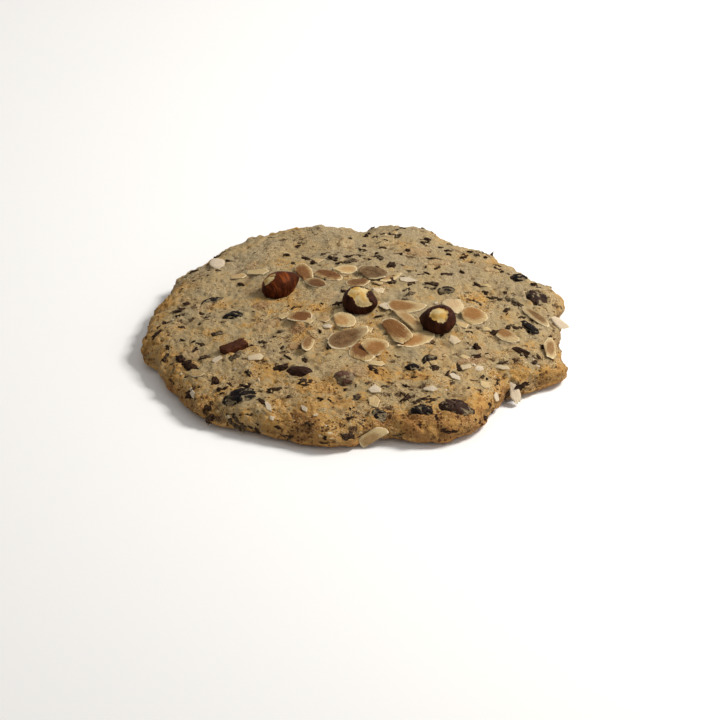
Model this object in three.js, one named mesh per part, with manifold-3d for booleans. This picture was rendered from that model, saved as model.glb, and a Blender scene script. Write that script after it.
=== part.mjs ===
// A large round drop cookie with fruit and nuts, about 17 cm across.
// One lumpy dough body carries three hazelnuts, a number of raisins and many
// sliced almonds. Units are millimetres, +Z is up and the cookie rests on z = 0.
// +X is the viewer's right and +Y points away from the viewer.

import * as THREE from 'three';
import { mergeVertices } from 'three/addons/utils/BufferGeometryUtils.js';
import Module from 'manifold-3d';

const wasm = await Module();
wasm.setup();

// ---------------------------------------------------------------- sizes

const CROWN = 18.5; // height of the middle of the cookie
const SHOULDER = 10.4; // height of the top just inside the rim
const WAIST = 3.8; // height at which the rim is widest
const DOME_POWER = 1.25; // how far out the crown stays high
const TOP_ROUNDING = 24; // higher keeps the rim's upper corner tighter
const FOOT_ROUNDING = 30; // the same for the lower corner
const FOOT = 0.88; // share of the radius that lies flat on the table
const DOUGH_DETAIL = 12; // how finely the ball that becomes the dough is split
const TOP_PART = 0.75; // share of that ball that becomes the top
const RIM_CROWDING = 1.35; // above 1 crowds its rows towards the rim

// Rim radius at every tenth degree, counter-clockwise from the viewer's right.
const RIM_RADII = [
  82, 85, 88.5, 84, 84, 85, 85.5, 89.5, 91, 88, 90, 90.5,
  89, 88, 84.5, 84.5, 82, 83.5, 85, 86, 83.5, 83.5, 86, 86.5,
  84, 84, 86.5, 82.5, 79.5, 87, 88, 81.5, 77, 81, 88, 83,
];

// Places where the rim is broken back or sticks out: angle in degrees, depth
// in millimetres (negative is a notch) and half width in degrees.
const RIM_BREAKS = [
  { angle: 88, depth: -3, spread: 2.6 },
  { angle: 336, depth: 1.8, spread: 3.5 },
  { angle: 196, depth: -1.6, spread: 2.5 },
  { angle: 134, depth: -2.2, spread: 3 },
  { angle: 62, depth: -1.8, spread: 3 },
  { angle: 322, depth: -1.6, spread: 2.5 },
];

// The fine ruffle of the rim: how many waves go round, and how deep each is.
const RIM_RUFFLES = [
  { waves: 19, depth: 0.55 },
  { waves: 29, depth: 0.5 },
  { waves: 47, depth: 0.45 },
];
const RUFFLE_LEAN = 0.35; // how fast a ruffle shifts with height, in radians per mm
const RUFFLE_SPACING = 2.1; // angle between the starts of two ruffles, in radians

// Lumps that a rule spreads over the top.
const LUMPS = { count: 120, reach: 86, jitter: 4, low: -0.5, high: 1.5, narrow: 3.6, wide: 7.5 };

// Larger swells and hollows seen in the photograph: plan position, height
// (negative is a hollow) and half width.
const SWELLS = [
  { x: -15, y: -66, rise: 1.7, spread: 9 },
  { x: 30, y: -60, rise: 1.2, spread: 7 },
  { x: 44, y: -61, rise: 1.5, spread: 7 },
  { x: -16, y: 72, rise: 2.2, spread: 12 },
  { x: 20, y: 74, rise: 2.4, spread: 12 },
  { x: 2, y: 78, rise: -1.6, spread: 6 },
  { x: 72, y: 24, rise: 1.8, spread: 11 },
  { x: -66, y: 34, rise: 1.3, spread: 10 },
  { x: -72, y: -14, rise: 1.4, spread: 10 },
  { x: 57, y: -26, rise: -1.2, spread: 9 },
  { x: -52, y: -44, rise: -0.9, spread: 8 },
  { x: 62, y: -34, rise: 1.2, spread: 8 },
];

const GAP = 0.35; // clearance between a piece and the pocket it sits in
const SLICE_THICKNESS = 1.1;
const SLICE_SIDES = 10;
const SLICE_TAPER = 0.16; // how much narrower the +x end of a slice is
const SLICE_THINNING = 0.45; // share of its thickness that a slice loses at the rim
const POCKET_DEPTH = 0.6; // clearance above and below a slice, whose pocket is plainer

// Hazelnuts: plan position, length, girth, direction of the long axis in
// degrees, how far the middle stands above the dough, and the tip's lift.
const HAZELNUTS = [
  { name: 'hazelnut_left', x: -30.5, y: 15, size: [16.5, 12, 11], turn: 34, rise: 2.4, pitch: 8 },
  { name: 'hazelnut_middle', x: 1.5, y: -2, size: [15, 13, 12], turn: -28, rise: 3, pitch: 8 },
  { name: 'hazelnut_right', x: 33, y: -15, size: [15, 13.5, 11.5], turn: 160, rise: 2.8, pitch: -4 },
];

// Raisins and other fruit and nut lumps: plan position, length, width and
// height, direction of the long axis in degrees, and rise above the dough.
const FRUIT = [
  { name: 'raisin_front_left', x: -45, y: -61.5, size: [14.5, 9.5, 7], turn: 22, rise: -1.6 },
  { name: 'raisin_left', x: -57.5, y: 11.5, size: [9.5, 5.5, 5], turn: 8, rise: -0.9 },
  { name: 'raisin_left_inner', x: -49, y: -4.5, size: [9, 5, 5], turn: 12, rise: -0.9 },
  { name: 'raisin_back_right', x: 66.5, y: 34.5, size: [8.5, 10.5, 6.5], turn: 20, rise: -1.3 },
  { name: 'raisin_right', x: 72.5, y: 16.5, size: [12, 11, 6.5], turn: -30, rise: -1.5 },
  { name: 'raisin_right_rim', x: 69.5, y: -8, size: [11.5, 6, 5], turn: -56, rise: -0.6 },
  { name: 'raisin_behind_nut', x: 36.5, y: 16, size: [8.5, 5, 5], turn: 14, rise: -0.7 },
  { name: 'raisin_front', x: 25, y: -73, size: [10.5, 6, 5.5], turn: 8, rise: -0.9 },
  { name: 'raisin_front_right', x: 39, y: -70, size: [13.5, 8, 7], turn: -6, rise: -1.3 },
  { name: 'raisin_centre_left', x: 22.5, y: -45.5, size: [8, 5.5, 5], turn: -22, rise: -0.9 },
  { name: 'raisin_centre_right', x: 29, y: -39, size: [7.5, 4.5, 4.5], turn: 40, rise: -0.7 },
  { name: 'raisin_middle_front', x: -4.5, y: -54, size: [9, 9, 6.5], turn: 10, rise: -0.5 },
  { name: 'raisin_low_front', x: 9, y: -74, size: [8, 6, 5.5], turn: 0, rise: -1.3 },
  { name: 'chocolate_chunk', x: -22, y: -48.5, size: [12, 6.5, 5.5], turn: -8, rise: -0.3 },
  { name: 'almond_piece', x: -48, y: -28.5, size: [12, 6.5, 5], turn: 30, rise: -0.3 },
];

// Almond slices that are large enough to be pieces of their own. Each has a
// plan position, length, width and direction, and lift raises it off the dough.
// A break cuts the oval off straight: the angle it faces, measured from the long
// axis, and the share of the half size at which it lies. Lean tips the slice by
// its first angle, towards its second.
const SLICES = [
  { x: -21.5, y: 30, size: [18, 8.5], turn: 93, lift: 0.5, breaks: [[177, 0.76], [129, 0.45]] },
  { x: -12, y: 28, size: [16.5, 8], turn: 137, lift: 0.5, breaks: [[2, 0.7], [151, 0.96]] },
  { x: -16, y: 20, size: [12, 7], turn: -55, lift: 0.6, breaks: [[1, 0.71]] },
  { x: -4.5, y: 33, size: [10, 9.5], turn: 7, lift: 0.4, breaks: [[142, 0.86]] },
  { x: 7, y: 26.5, size: [14.5, 12], turn: -25, lift: 0.7, breaks: [[11, 0.8], [-130, 0.7]] },
  { x: 13.5, y: 24, size: [12.5, 4], turn: 39, lift: 0.3, breaks: [[133, 0.48]] },
  { x: 1, y: 18.5, size: [11.5, 7], turn: 37, lift: 0.5, breaks: [[-154, 0.86], [66, 0.79]] },
  { x: -22.5, y: -9, size: [11.5, 10.5], turn: 87, lift: 0.4, breaks: [[-1, 0.6]] },
  { x: -4.5, y: -13.5, size: [12, 9.5], turn: -66, lift: 0.4, breaks: [[-109, 0.79]] },
  { x: -3, y: -25.5, size: [20.5, 10.5], turn: 42, lift: 0.8, breaks: [[70, 0.75], [-73, 0.86]], lean: [12, -70] },
  { x: 7.5, y: -33, size: [11.5, 10], turn: 22, lift: 1.5, breaks: [[-169, 0.79], [-56, 0.87]], lean: [16, -80] },
  { x: 2.5, y: -36, size: [15.5, 10.5], turn: 92, lift: 0.4, breaks: [[-37, 0.68], [151, 0.79]] },
  { x: 17, y: -23.5, size: [22.5, 9.5], turn: -59, lift: 1.5, breaks: [[-116, 0.71], [8, 0.62]], lean: [9, -130] },
  { x: 23, y: -25.5, size: [20, 10.5], turn: 36, lift: 0.5, breaks: [[139, 0.56]] },
  { x: 20.5, y: -1, size: [16, 11], turn: 5, lift: 0.6, breaks: [[-121, 0.92], [138, 0.95]] },
  { x: 20.5, y: -12.5, size: [19.5, 6.5], turn: -51, lift: 0.5, breaks: [[137, 0.92], [-109, 0.59]] },
  { x: -19, y: -29, size: [16.5, 4.5], turn: 78, lift: 1.1, breaks: [[-12, 0.57]], lean: [14, 10] },
  { x: 39, y: 1.5, size: [12, 8.5], turn: -77, lift: 0.5, breaks: [[-71, 0.75], [173, 0.81]] },
  { x: 47, y: -6, size: [11.5, 11], turn: -16, lift: 1.2, breaks: [[-149, 0.82], [-118, 0.81]], lean: [14, -70] },
  { x: 60, y: -16.5, size: [12, 8], turn: -39, lift: 0.6, breaks: [[73, 0.8], [-169, 0.67]] },
  { x: 72, y: 3, size: [16, 6.5], turn: -48, lift: 0.7, breaks: [[125, 0.45]] },
  { x: 76.5, y: -22.5, size: [14, 6.5], turn: 87, lift: 0.9, breaks: [[127, 0.83]], lean: [40, -12] },
  { x: 62, y: -45.5, size: [10, 5], turn: 113, lift: 1.2, breaks: [[69, 0.73]], lean: [36, -62] },
  { x: 7, y: -80, size: [12.5, 7], turn: 45, lift: 0.7, breaks: [[-84, 0.45], [108, 0.8]], lean: [60, -84] },
  { x: -56.5, y: 46.5, size: [7, 7], turn: 24, lift: 0.9, breaks: [[-68, 0.81], [-21, 0.83]], lean: [12, -60] },
  { x: 81.5, y: 4, size: [8.5, 6], turn: -20, lift: 0.8, breaks: [[-133, 0.6]], lean: [20, -40] },
];

// Smaller chips, fused to the dough: plan position, length, width, direction.
const CHIPS = [
  { x: 42, y: -13.5, size: [8, 6.5], turn: 30 },
  { x: 38.5, y: -24, size: [6, 6], turn: 45 },
  { x: 9.5, y: 12.5, size: [9, 7], turn: 100 },
  { x: -48, y: 33, size: [8, 6], turn: 14 },
  { x: -39, y: 34.5, size: [12, 6], turn: -16 },
  { x: 8.5, y: -43.5, size: [8, 4.5], turn: 6 },
  { x: 7, y: -60.5, size: [7, 6], turn: 24 },
  { x: 7, y: -67.5, size: [7.5, 5.5], turn: 80 },
  { x: 39, y: -50, size: [6.5, 4], turn: -52 },
  { x: 43.5, y: -42.5, size: [6.5, 3.5], turn: 22 },
  { x: 48.5, y: -42, size: [5.5, 4], turn: 60 },
  { x: 50.5, y: -52.5, size: [6, 4.5], turn: 64 },
  { x: 55, y: -54.5, size: [5.5, 4], turn: -60 },
  { x: 29, y: -61.5, size: [6, 3], turn: -6 },
  { x: 57.5, y: -39, size: [8, 3], turn: -8 },
  { x: -55, y: -35.5, size: [6, 5], turn: 58 },
  { x: -39, y: -37, size: [8, 6], turn: 14 },
  { x: -64, y: -54, size: [8, 3], turn: -74 },
  { x: -34, y: -69, size: [8, 3], turn: -66 },
  { x: -20, y: -73, size: [5, 2.5], turn: -70 },
  { x: -11, y: -16, size: [5, 4], turn: 20 },
  { x: -12.5, y: -10.5, size: [7, 5], turn: -10 },
  { x: 21, y: 36, size: [8, 5], turn: 12 },
];
const CHIP_LIFT = 0.5;
const STRAY_CHIPS = { count: 10, reach: 78, shortest: 4, longest: 7 };

const COLOURS = {
  dough: 0xc3a471,
  hazelnut: 0x4a2418,
  fruit: 0x231c1b,
  chocolate: 0x33211d,
  almondSkin: 0x5f3320,
  slice: 0xcdb083,
};

// ---------------------------------------------------------------- helpers

const TURN = 2 * Math.PI;
const GOLDEN_ANGLE = Math.PI * (3 - Math.sqrt(5));
const radians = (degrees) => THREE.MathUtils.degToRad(degrees);

// A repeatable draw between 0 and 1 for draw number k of item i.
function draw(i, k) {
  const value = Math.sin(i * 12.9898 + k * 78.233) * 43758.5453;
  return value - Math.floor(value);
}

const between = (low, high, share) => low + (high - low) * share;
const bell = (distance, spread) => Math.exp(-((distance / spread) ** 2));

// ---------------------------------------------------------------- dough form

// The rim radius at an angle: a smooth closed curve through RIM_RADII.
function smoothRim(angle) {
  const steps = RIM_RADII.length;
  const turns = angle / TURN;
  const place = (turns - Math.floor(turns)) * steps;
  const index = Math.floor(place);
  const t = place - index;
  const [a, b, c, d] = [-1, 0, 1, 2].map((k) => RIM_RADII[(index + k + steps) % steps]);
  const bend = 2 * a - 5 * b + 4 * c - d;
  const curl = 3 * b - 3 * c + d - a;
  return b + 0.5 * t * (c - a + t * (bend + t * curl));
}

function rimBreaks(angle) {
  let total = 0;
  for (const { angle: centre, depth, spread } of RIM_BREAKS) {
    const away = ((THREE.MathUtils.radToDeg(angle) - centre + 900) % 360) - 180;
    total += depth * bell(away, spread);
  }
  return total;
}

function rimRuffle(angle, height) {
  let total = 0;
  RIM_RUFFLES.forEach(({ waves, depth }, k) => {
    total += depth * Math.sin(waves * angle + RUFFLE_LEAN * height * (k + 1) + RUFFLE_SPACING * k);
  });
  return total;
}

const rimRadius = (angle) => smoothRim(angle) + rimBreaks(angle);

// Lumps set out in a sunflower pattern, each moved a little from its place.
const lumps = Array.from({ length: LUMPS.count }, (_, i) => {
  const reach = LUMPS.reach * Math.sqrt((i + 0.5) / LUMPS.count);
  const angle = i * GOLDEN_ANGLE;
  return {
    x: reach * Math.cos(angle) + LUMPS.jitter * (draw(i, 1) * 2 - 1),
    y: reach * Math.sin(angle) + LUMPS.jitter * (draw(i, 2) * 2 - 1),
    rise: between(LUMPS.low, LUMPS.high, draw(i, 3)),
    spread: between(LUMPS.narrow, LUMPS.wide, draw(i, 4)),
  };
});

function relief(x, y) {
  let total = 0;
  for (const lump of lumps.concat(SWELLS)) {
    total += lump.rise * bell(Math.hypot(x - lump.x, y - lump.y), lump.spread);
  }
  return total;
}

// Height of the top at a plan position, share being 0 at the middle and 1 at
// the rim.
function topHeight(x, y, share) {
  const dome = SHOULDER + (CROWN - SHOULDER) * (1 - share * share) ** DOME_POWER;
  const corner = Math.sqrt(Math.max(0, 1 - share ** TOP_ROUNDING));
  return WAIST + (dome + relief(x, y) - WAIST) * corner;
}

function footHeight(share) {
  if (share < FOOT) return 0;
  return WAIST * (1 - Math.sqrt(Math.max(0, 1 - share ** FOOT_ROUNDING)));
}

// The surface point for a direction on a unit ball. Most of the ball becomes
// the top, the rest the underside, and both crowd towards the rim.
function doughPoint(direction) {
  const angle = Math.atan2(direction.y, direction.x);
  const down = (1 - direction.z) / 2;
  const onTop = down <= TOP_PART;
  const fromRim = onTop ? 1 - down / TOP_PART : (down - TOP_PART) / (1 - TOP_PART);
  const share = Math.sqrt(Math.max(0, 1 - fromRim ** RIM_CROWDING));
  const reach = share * rimRadius(angle);
  const x = reach * Math.cos(angle);
  const y = reach * Math.sin(angle);
  const z = onTop ? topHeight(x, y, share) : footHeight(share);
  const grow = 1 + (rimRuffle(angle, z) * share ** 8) / rimRadius(angle);
  return new THREE.Vector3(x * grow, y * grow, z);
}

// Height of the top at a plan position.
function surface(x, y) {
  const share = Math.hypot(x, y) / rimRadius(Math.atan2(y, x));
  return topHeight(x, y, Math.min(share, 1));
}

// The direction in which the top faces, averaged over a small reach.
function surfaceNormal(x, y, reach) {
  const slopeX = (surface(x + reach, y) - surface(x - reach, y)) / (2 * reach);
  const slopeY = (surface(x, y + reach) - surface(x, y - reach)) / (2 * reach);
  return new THREE.Vector3(-slopeX, -slopeY, 1).normalize();
}

// ---------------------------------------------------------------- solids

function toManifold(geometry) {
  const bare = geometry.clone();
  bare.deleteAttribute('normal');
  bare.deleteAttribute('uv');
  const merged = mergeVertices(bare, 1e-4);
  return new wasm.Manifold(new wasm.Mesh({
    numProp: 3,
    vertProperties: new Float32Array(merged.attributes.position.array),
    triVerts: new Uint32Array(merged.index.array),
  }));
}

function toGeometry(solid) {
  const mesh = solid.getMesh();
  const geometry = new THREE.BufferGeometry();
  geometry.setAttribute('position', new THREE.BufferAttribute(mesh.vertProperties, 3));
  geometry.setIndex(new THREE.BufferAttribute(mesh.triVerts, 1));
  geometry.computeVertexNormals();
  return geometry;
}

// The largest of the separate bodies in a solid, with any scraps dropped.
function largest(solid) {
  return solid.decompose().reduce((best, body) => (body.volume() > best.volume() ? body : best));
}

function moveVertices(geometry, place) {
  const position = geometry.attributes.position;
  const point = new THREE.Vector3();
  for (let i = 0; i < position.count; i += 1) {
    point.fromBufferAttribute(position, i);
    place(point);
    position.setXYZ(i, point.x, point.y, point.z);
  }
  return geometry;
}

// A closed plate with two alike faces, made of rings of an outline.
function plate(outline, middle, thickness, sides, rings) {
  const points = [];
  for (const side of [1, -1]) {
    for (let ring = 0; ring <= rings; ring += 1) {
      const count = ring === 0 ? 1 : sides;
      for (let k = 0; k < count; k += 1) {
        const [x, y] = outline((TURN * k) / sides);
        const out = ring / rings;
        const thin = 1 - SLICE_THINNING * out ** 4;
        points.push(x * out, y * out, middle(x * out, y * out) + side * 0.5 * thickness * thin);
      }
    }
  }
  const perFace = 1 + rings * sides;
  const inFace = (ring, k) => (ring === 0 ? 0 : 1 + (ring - 1) * sides + (k % sides));
  const at = (face, ring, k) => face * perFace + inFace(ring, k);
  const triangles = [];
  const triangle = (face, a, b, c) => triangles.push(...(face === 0 ? [a, b, c] : [a, c, b]));
  for (const face of [0, 1]) {
    for (let k = 0; k < sides; k += 1) {
      triangle(face, at(face, 0, 0), at(face, 1, k), at(face, 1, k + 1));
      for (let ring = 1; ring < rings; ring += 1) {
        triangle(face, at(face, ring, k), at(face, ring + 1, k), at(face, ring + 1, k + 1));
        triangle(face, at(face, ring, k), at(face, ring + 1, k + 1), at(face, ring, k + 1));
      }
    }
  }
  for (let k = 0; k < sides; k += 1) {
    triangles.push(at(0, rings, k), at(1, rings, k), at(1, rings, k + 1));
    triangles.push(at(0, rings, k), at(1, rings, k + 1), at(0, rings, k + 1));
  }
  const geometry = new THREE.BufferGeometry();
  geometry.setAttribute('position', new THREE.Float32BufferAttribute(points, 3));
  geometry.setIndex(triangles);
  return geometry;
}

// Sets a piece made round the origin onto the dough: its x axis along turn, its
// z axis along the dough's own direction or the given lean.
function settle(geometry, piece, reach, lift) {
  const up = surfaceNormal(piece.x, piece.y, reach);
  if (piece.lean !== undefined) {
    const [lean, facing] = piece.lean.map(radians);
    up.set(Math.sin(lean) * Math.cos(facing), Math.sin(lean) * Math.sin(facing), Math.cos(lean));
  }
  const turn = radians(piece.turn);
  const along = new THREE.Vector3(Math.cos(turn), Math.sin(turn), 0);
  along.addScaledVector(up, -along.dot(up)).normalize();
  along.applyAxisAngle(new THREE.Vector3().crossVectors(up, along), -radians(piece.pitch ?? 0));
  const across = new THREE.Vector3().crossVectors(up, along).normalize();
  const top = new THREE.Vector3().crossVectors(along, across);
  const frame = new THREE.Matrix4().makeBasis(along, across, top);
  const centre = new THREE.Vector3(piece.x, piece.y, surface(piece.x, piece.y));
  frame.setPosition(centre.addScaledVector(up, lift));
  return geometry.applyMatrix4(frame);
}

// How far out a broken disc of radius 1 reaches at an angle. Grow is the
// clearance that a pocket adds, as a share of the half width.
function brokenReach(angle, breaks, grow) {
  let reach = 1;
  for (const [facing, depth] of breaks) {
    const towards = Math.cos(angle - radians(facing));
    if (towards > 0) reach = Math.min(reach, (depth + grow) / (1 + grow) / towards);
  }
  return reach;
}

// An almond slice: an oval that is blunter at one end, a little bent and
// twisted, with straight breaks.
function slice(piece, index, grow) {
  const [length, width] = piece.size;
  const a = length / 2 + grow;
  const b = width / 2 + grow;
  const bend = between(-0.5, 0.9, draw(index, 11));
  const twist = between(-0.8, 0.8, draw(index, 12));
  const outline = (angle) => {
    const reach = brokenReach(angle, piece.breaks, (2 * grow) / width);
    const [u, v] = [reach * Math.cos(angle), reach * Math.sin(angle)];
    return [a * u, b * v * (1 - SLICE_TAPER * u)];
  };
  const middle = (x, y) => {
    const [u, v] = [(2 * x) / length, (2 * y) / width];
    return bend * u * u + twist * u * v;
  };
  const rings = grow > 0 ? 1 : 2;
  const thickness = SLICE_THICKNESS + (grow > 0 ? 2 * POCKET_DEPTH : 0);
  const geometry = plate(outline, middle, thickness, SLICE_SIDES, rings);
  return toManifold(settle(geometry, piece, length / 3, piece.lift));
}

// A raisin: a flattened ball with folds that run along it.
function fruit(piece, index, grow) {
  const [length, width, height] = piece.size.map((size) => size / 2 + grow);
  const phase = TURN * draw(index, 21);
  const ball = new THREE.SphereGeometry(1, 9, 6);
  ball.rotateY(Math.PI / 2);
  moveVertices(ball, (point) => {
    const fold = 1 + 0.07 * Math.sin(4 * Math.atan2(point.y, point.z) + phase + 2 * point.x);
    point.set(point.x * length, point.y * width * fold, point.z * height * fold);
  });
  return toManifold(settle(ball, piece, length * 0.6, piece.rise));
}

// A hazelnut: round, with a slightly pointed tip at +x and a flatter base.
function hazelnut(piece, index, grow) {
  const [length, width, height] = piece.size.map((size) => size / 2 + grow);
  const ball = new THREE.IcosahedronGeometry(1, 3);
  moveVertices(ball, (point) => {
    const narrow = 1 - 0.12 * point.x - 0.08 * point.x * point.x;
    const tip = 1 + 0.1 * Math.max(0, point.x) ** 6;
    point.set(point.x * length * tip / 1.05, point.y * width * narrow, point.z * height * narrow);
  });
  return toManifold(settle(ball, piece, 5, piece.rise));
}

// A chip fused to the dough: a small plate with six sides.
function chip(piece, index) {
  const [length, width] = piece.size;
  const outline = (angle) => {
    const ragged = between(0.8, 1.1, draw(index, Math.round(angle * 3)));
    return [0.5 * length * ragged * Math.cos(angle), 0.5 * width * ragged * Math.sin(angle)];
  };
  const geometry = plate(outline, () => 0, SLICE_THICKNESS * 1.1, 6, 1);
  return toManifold(settle(geometry, piece, 2, CHIP_LIFT));
}

// Chips beyond those picked out one by one, set out by the sunflower rule.
const strayChips = Array.from({ length: STRAY_CHIPS.count }, (_, i) => {
  const reach = STRAY_CHIPS.reach * Math.sqrt((i + 0.5) / STRAY_CHIPS.count);
  const angle = i * GOLDEN_ANGLE + 1;
  const length = between(STRAY_CHIPS.shortest, STRAY_CHIPS.longest, draw(i, 31));
  return {
    x: reach * Math.cos(angle),
    y: reach * Math.sin(angle),
    size: [length, length * between(0.5, 0.8, draw(i, 32))],
    turn: 360 * draw(i, 33),
  };
});

// ---------------------------------------------------------------- assembly

// Every piece that lies in the dough, the ones on top first. Each is cut clear
// of the pieces before it, and the dough is cut clear of them all.
function layOut() {
  const pieces = [];
  const add = (name, colour, roughness, solid, cutter) => {
    const clear = pieces.reduce((rest, before) => rest.subtract(before.cutter), solid);
    pieces.push({ name, colour, roughness, solid: largest(clear), cutter });
  };
  HAZELNUTS.forEach((nut, i) => {
    add(nut.name, COLOURS.hazelnut, 0.5, hazelnut(nut, i, 0), hazelnut(nut, i, GAP));
  });
  const special = { chocolate_chunk: COLOURS.chocolate, almond_piece: COLOURS.almondSkin };
  FRUIT.forEach((piece, i) => {
    const colour = special[piece.name] ?? COLOURS.fruit;
    add(piece.name, colour, 0.35, fruit(piece, i, 0), fruit(piece, i, GAP));
  });
  const numbered = SLICES.map((piece, i) => ({ piece, i }));
  const highestFirst = numbered.sort((p, q) => q.piece.lift - p.piece.lift);
  highestFirst.forEach(({ piece, i }) => {
    const name = `slice_${String(i + 1).padStart(2, '0')}`;
    add(name, COLOURS.slice, 0.6, slice(piece, i, 0), slice(piece, i, GAP));
  });
  return pieces;
}

function dough(pieces) {
  const ball = new THREE.IcosahedronGeometry(1, DOUGH_DETAIL);
  moveVertices(ball, (point) => point.copy(doughPoint(point)));
  let solid = toManifold(ball);
  CHIPS.concat(strayChips).forEach((piece, i) => {
    solid = solid.add(chip(piece, i));
  });
  for (const piece of pieces) {
    solid = solid.subtract(piece.cutter);
  }
  return largest(solid);
}

function mesh(name, colour, roughness, solid) {
  const material = new THREE.MeshStandardMaterial({ color: colour, roughness, metalness: 0 });
  const part = new THREE.Mesh(toGeometry(solid), material);
  part.name = name;
  return part;
}

const cookie = new THREE.Group();
const pieces = layOut();
cookie.add(mesh('dough', COLOURS.dough, 0.85, dough(pieces)));
for (const piece of pieces) {
  cookie.add(mesh(piece.name, piece.colour, piece.roughness, piece.solid));
}

// The middle of the whole cookie's box stands on the origin.
const box = new THREE.Box3().setFromObject(cookie);
const centre = box.getCenter(new THREE.Vector3());
cookie.position.set(-centre.x, -centre.y, -box.min.z);
cookie.updateMatrixWorld(true);

export default cookie;
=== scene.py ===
# %% [markdown]
# # A large fruit and nut cookie
# A drop cookie is a spoonful of stiff batter that spreads on the tray, browns
# at its rim and sets round whatever was stirred into it. This lesson dresses
# the plain solids of such a cookie: the dough first, then the sliced almonds,
# hazelnuts, raisins and crumbs, and last the light and the camera.

# %% Load the frame
import math

import bpy
import numpy as np
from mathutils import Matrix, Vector


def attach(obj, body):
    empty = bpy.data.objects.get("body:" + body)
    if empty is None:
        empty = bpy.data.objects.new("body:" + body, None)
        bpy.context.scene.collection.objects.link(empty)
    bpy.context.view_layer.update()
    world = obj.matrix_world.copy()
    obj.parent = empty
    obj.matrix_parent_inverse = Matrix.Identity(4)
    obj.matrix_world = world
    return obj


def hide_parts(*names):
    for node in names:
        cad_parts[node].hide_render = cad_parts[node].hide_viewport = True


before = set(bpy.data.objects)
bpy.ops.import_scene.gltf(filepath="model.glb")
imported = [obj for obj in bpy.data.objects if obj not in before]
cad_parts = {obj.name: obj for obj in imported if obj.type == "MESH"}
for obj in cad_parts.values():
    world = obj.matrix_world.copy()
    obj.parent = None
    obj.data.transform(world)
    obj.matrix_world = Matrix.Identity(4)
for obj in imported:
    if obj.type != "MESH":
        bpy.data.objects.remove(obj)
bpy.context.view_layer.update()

# %% [markdown]
# ## Sizes that the dough was drawn with
# The lumpy body is a formula, so the fine surface can follow the plain solid
# exactly: both work from the same few sizes. Lengths here are millimetres, and
# a mesh is scaled to metres only when it is made.

# %% Sizes of the dough
MM = 0.001
CROWN = 18.5  # height of the middle of the cookie
SHOULDER = 10.4  # height of the top just inside the rim
WAIST = 3.8  # height at which the rim is widest
DOME_POWER = 1.25
TOP_ROUNDING = 24
FOOT_ROUNDING = 30
FOOT = 0.88  # share of the radius that lies flat
DRAWING_SHIFT = np.array([0.146, -2.324, 0.0])  # brings the box's middle to the origin

# Rim radius at every tenth degree, counter-clockwise from the viewer's right.
RIM_RADII = np.array([
    82, 85, 88.5, 84, 84, 85, 85.5, 89.5, 91, 88, 90, 90.5,
    89, 88, 84.5, 84.5, 82, 83.5, 85, 86, 83.5, 83.5, 86, 86.5,
    84, 84, 86.5, 82.5, 79.5, 87, 88, 81.5, 77, 81, 88, 83,
])
# Breaks in the rim: angle, depth in millimetres, half width in degrees.
RIM_BREAKS = [(88, -3, 2.6), (336, 1.8, 3.5), (196, -1.6, 2.5),
              (134, -2.2, 3), (62, -1.8, 3), (322, -1.6, 2.5)]
RIM_RUFFLES = [(19, 0.55), (29, 0.5), (47, 0.45)]  # waves round the rim, depth
RUFFLE_LEAN = 0.35
RUFFLE_SPACING = 2.1
# Swells and hollows: plan position, height, half width.
SWELLS = [(-15, -66, 1.7, 9), (30, -60, 1.2, 7), (44, -61, 1.5, 7), (-16, 72, 2.2, 12),
          (20, 74, 2.4, 12), (2, 78, -1.6, 6), (72, 24, 1.8, 11), (-66, 34, 1.3, 10),
          (-72, -14, 1.4, 10), (57, -26, -1.2, 9), (-52, -44, -0.9, 8), (62, -34, 1.2, 8)]
GOLDEN_ANGLE = math.pi * (3 - math.sqrt(5))

# %% [markdown]
# ## Repeatable chance
# Nothing in nature repeats, but a script has to give the same cookie on every
# run. A draw is the broken part of a large multiple of a sine, which looks
# random and always comes out the same. Smooth noise blends such draws between
# the corners of a grid, and cell noise scatters one point in every square.

# %% Chance, noise and scattered points
def draw(i, k):
    """A number from 0 to 1: the fraction left of a big multiple of a sine."""
    value = np.sin(np.asarray(i) * 12.9898 + k * 78.233) * 43758.5453
    return value - np.floor(value)


def hashed(cells, seed):
    """A draw from 0 to 1 for whole-number cells, by mixing the bits of their indices."""
    mixed = np.full(cells.shape[:-1], seed * 2654435761 % 2**32, dtype=np.uint32)
    for axis, prime in zip(range(cells.shape[-1]), (73856093, 19349663, 83492791)):
        mixed ^= cells[..., axis].astype(np.int64).astype(np.uint32) * np.uint32(prime)
        mixed ^= mixed >> np.uint32(13)
        mixed *= np.uint32(1274126177)
        mixed ^= mixed >> np.uint32(16)
    return mixed / 2.0**32


def noise(points, size, seed):
    """Smooth noise from -1 to 1: draws at the corners of a grid of the given size,
    blended along each axis with a curve that starts and ends level."""
    places = points / size + seed * 17.31
    base = np.floor(places).astype(np.int64)
    part = places - base
    ease = part * part * (3 - 2 * part)
    total = 0.0
    for corner in np.ndindex(*(2,) * points.shape[-1]):
        weight = np.prod(np.where(corner, ease, 1 - ease), axis=-1)
        total = total + weight * hashed(base + np.array(corner), seed)
    return 2 * total - 1


def rough(points, size, seed, octaves=4, keep=0.55):
    """Several noises added, each half as wide and a little weaker than the last."""
    total = sum(keep**k * noise(points, size / 2**k, seed + k) for k in range(octaves))
    return total / sum(keep**k for k in range(octaves))


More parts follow.
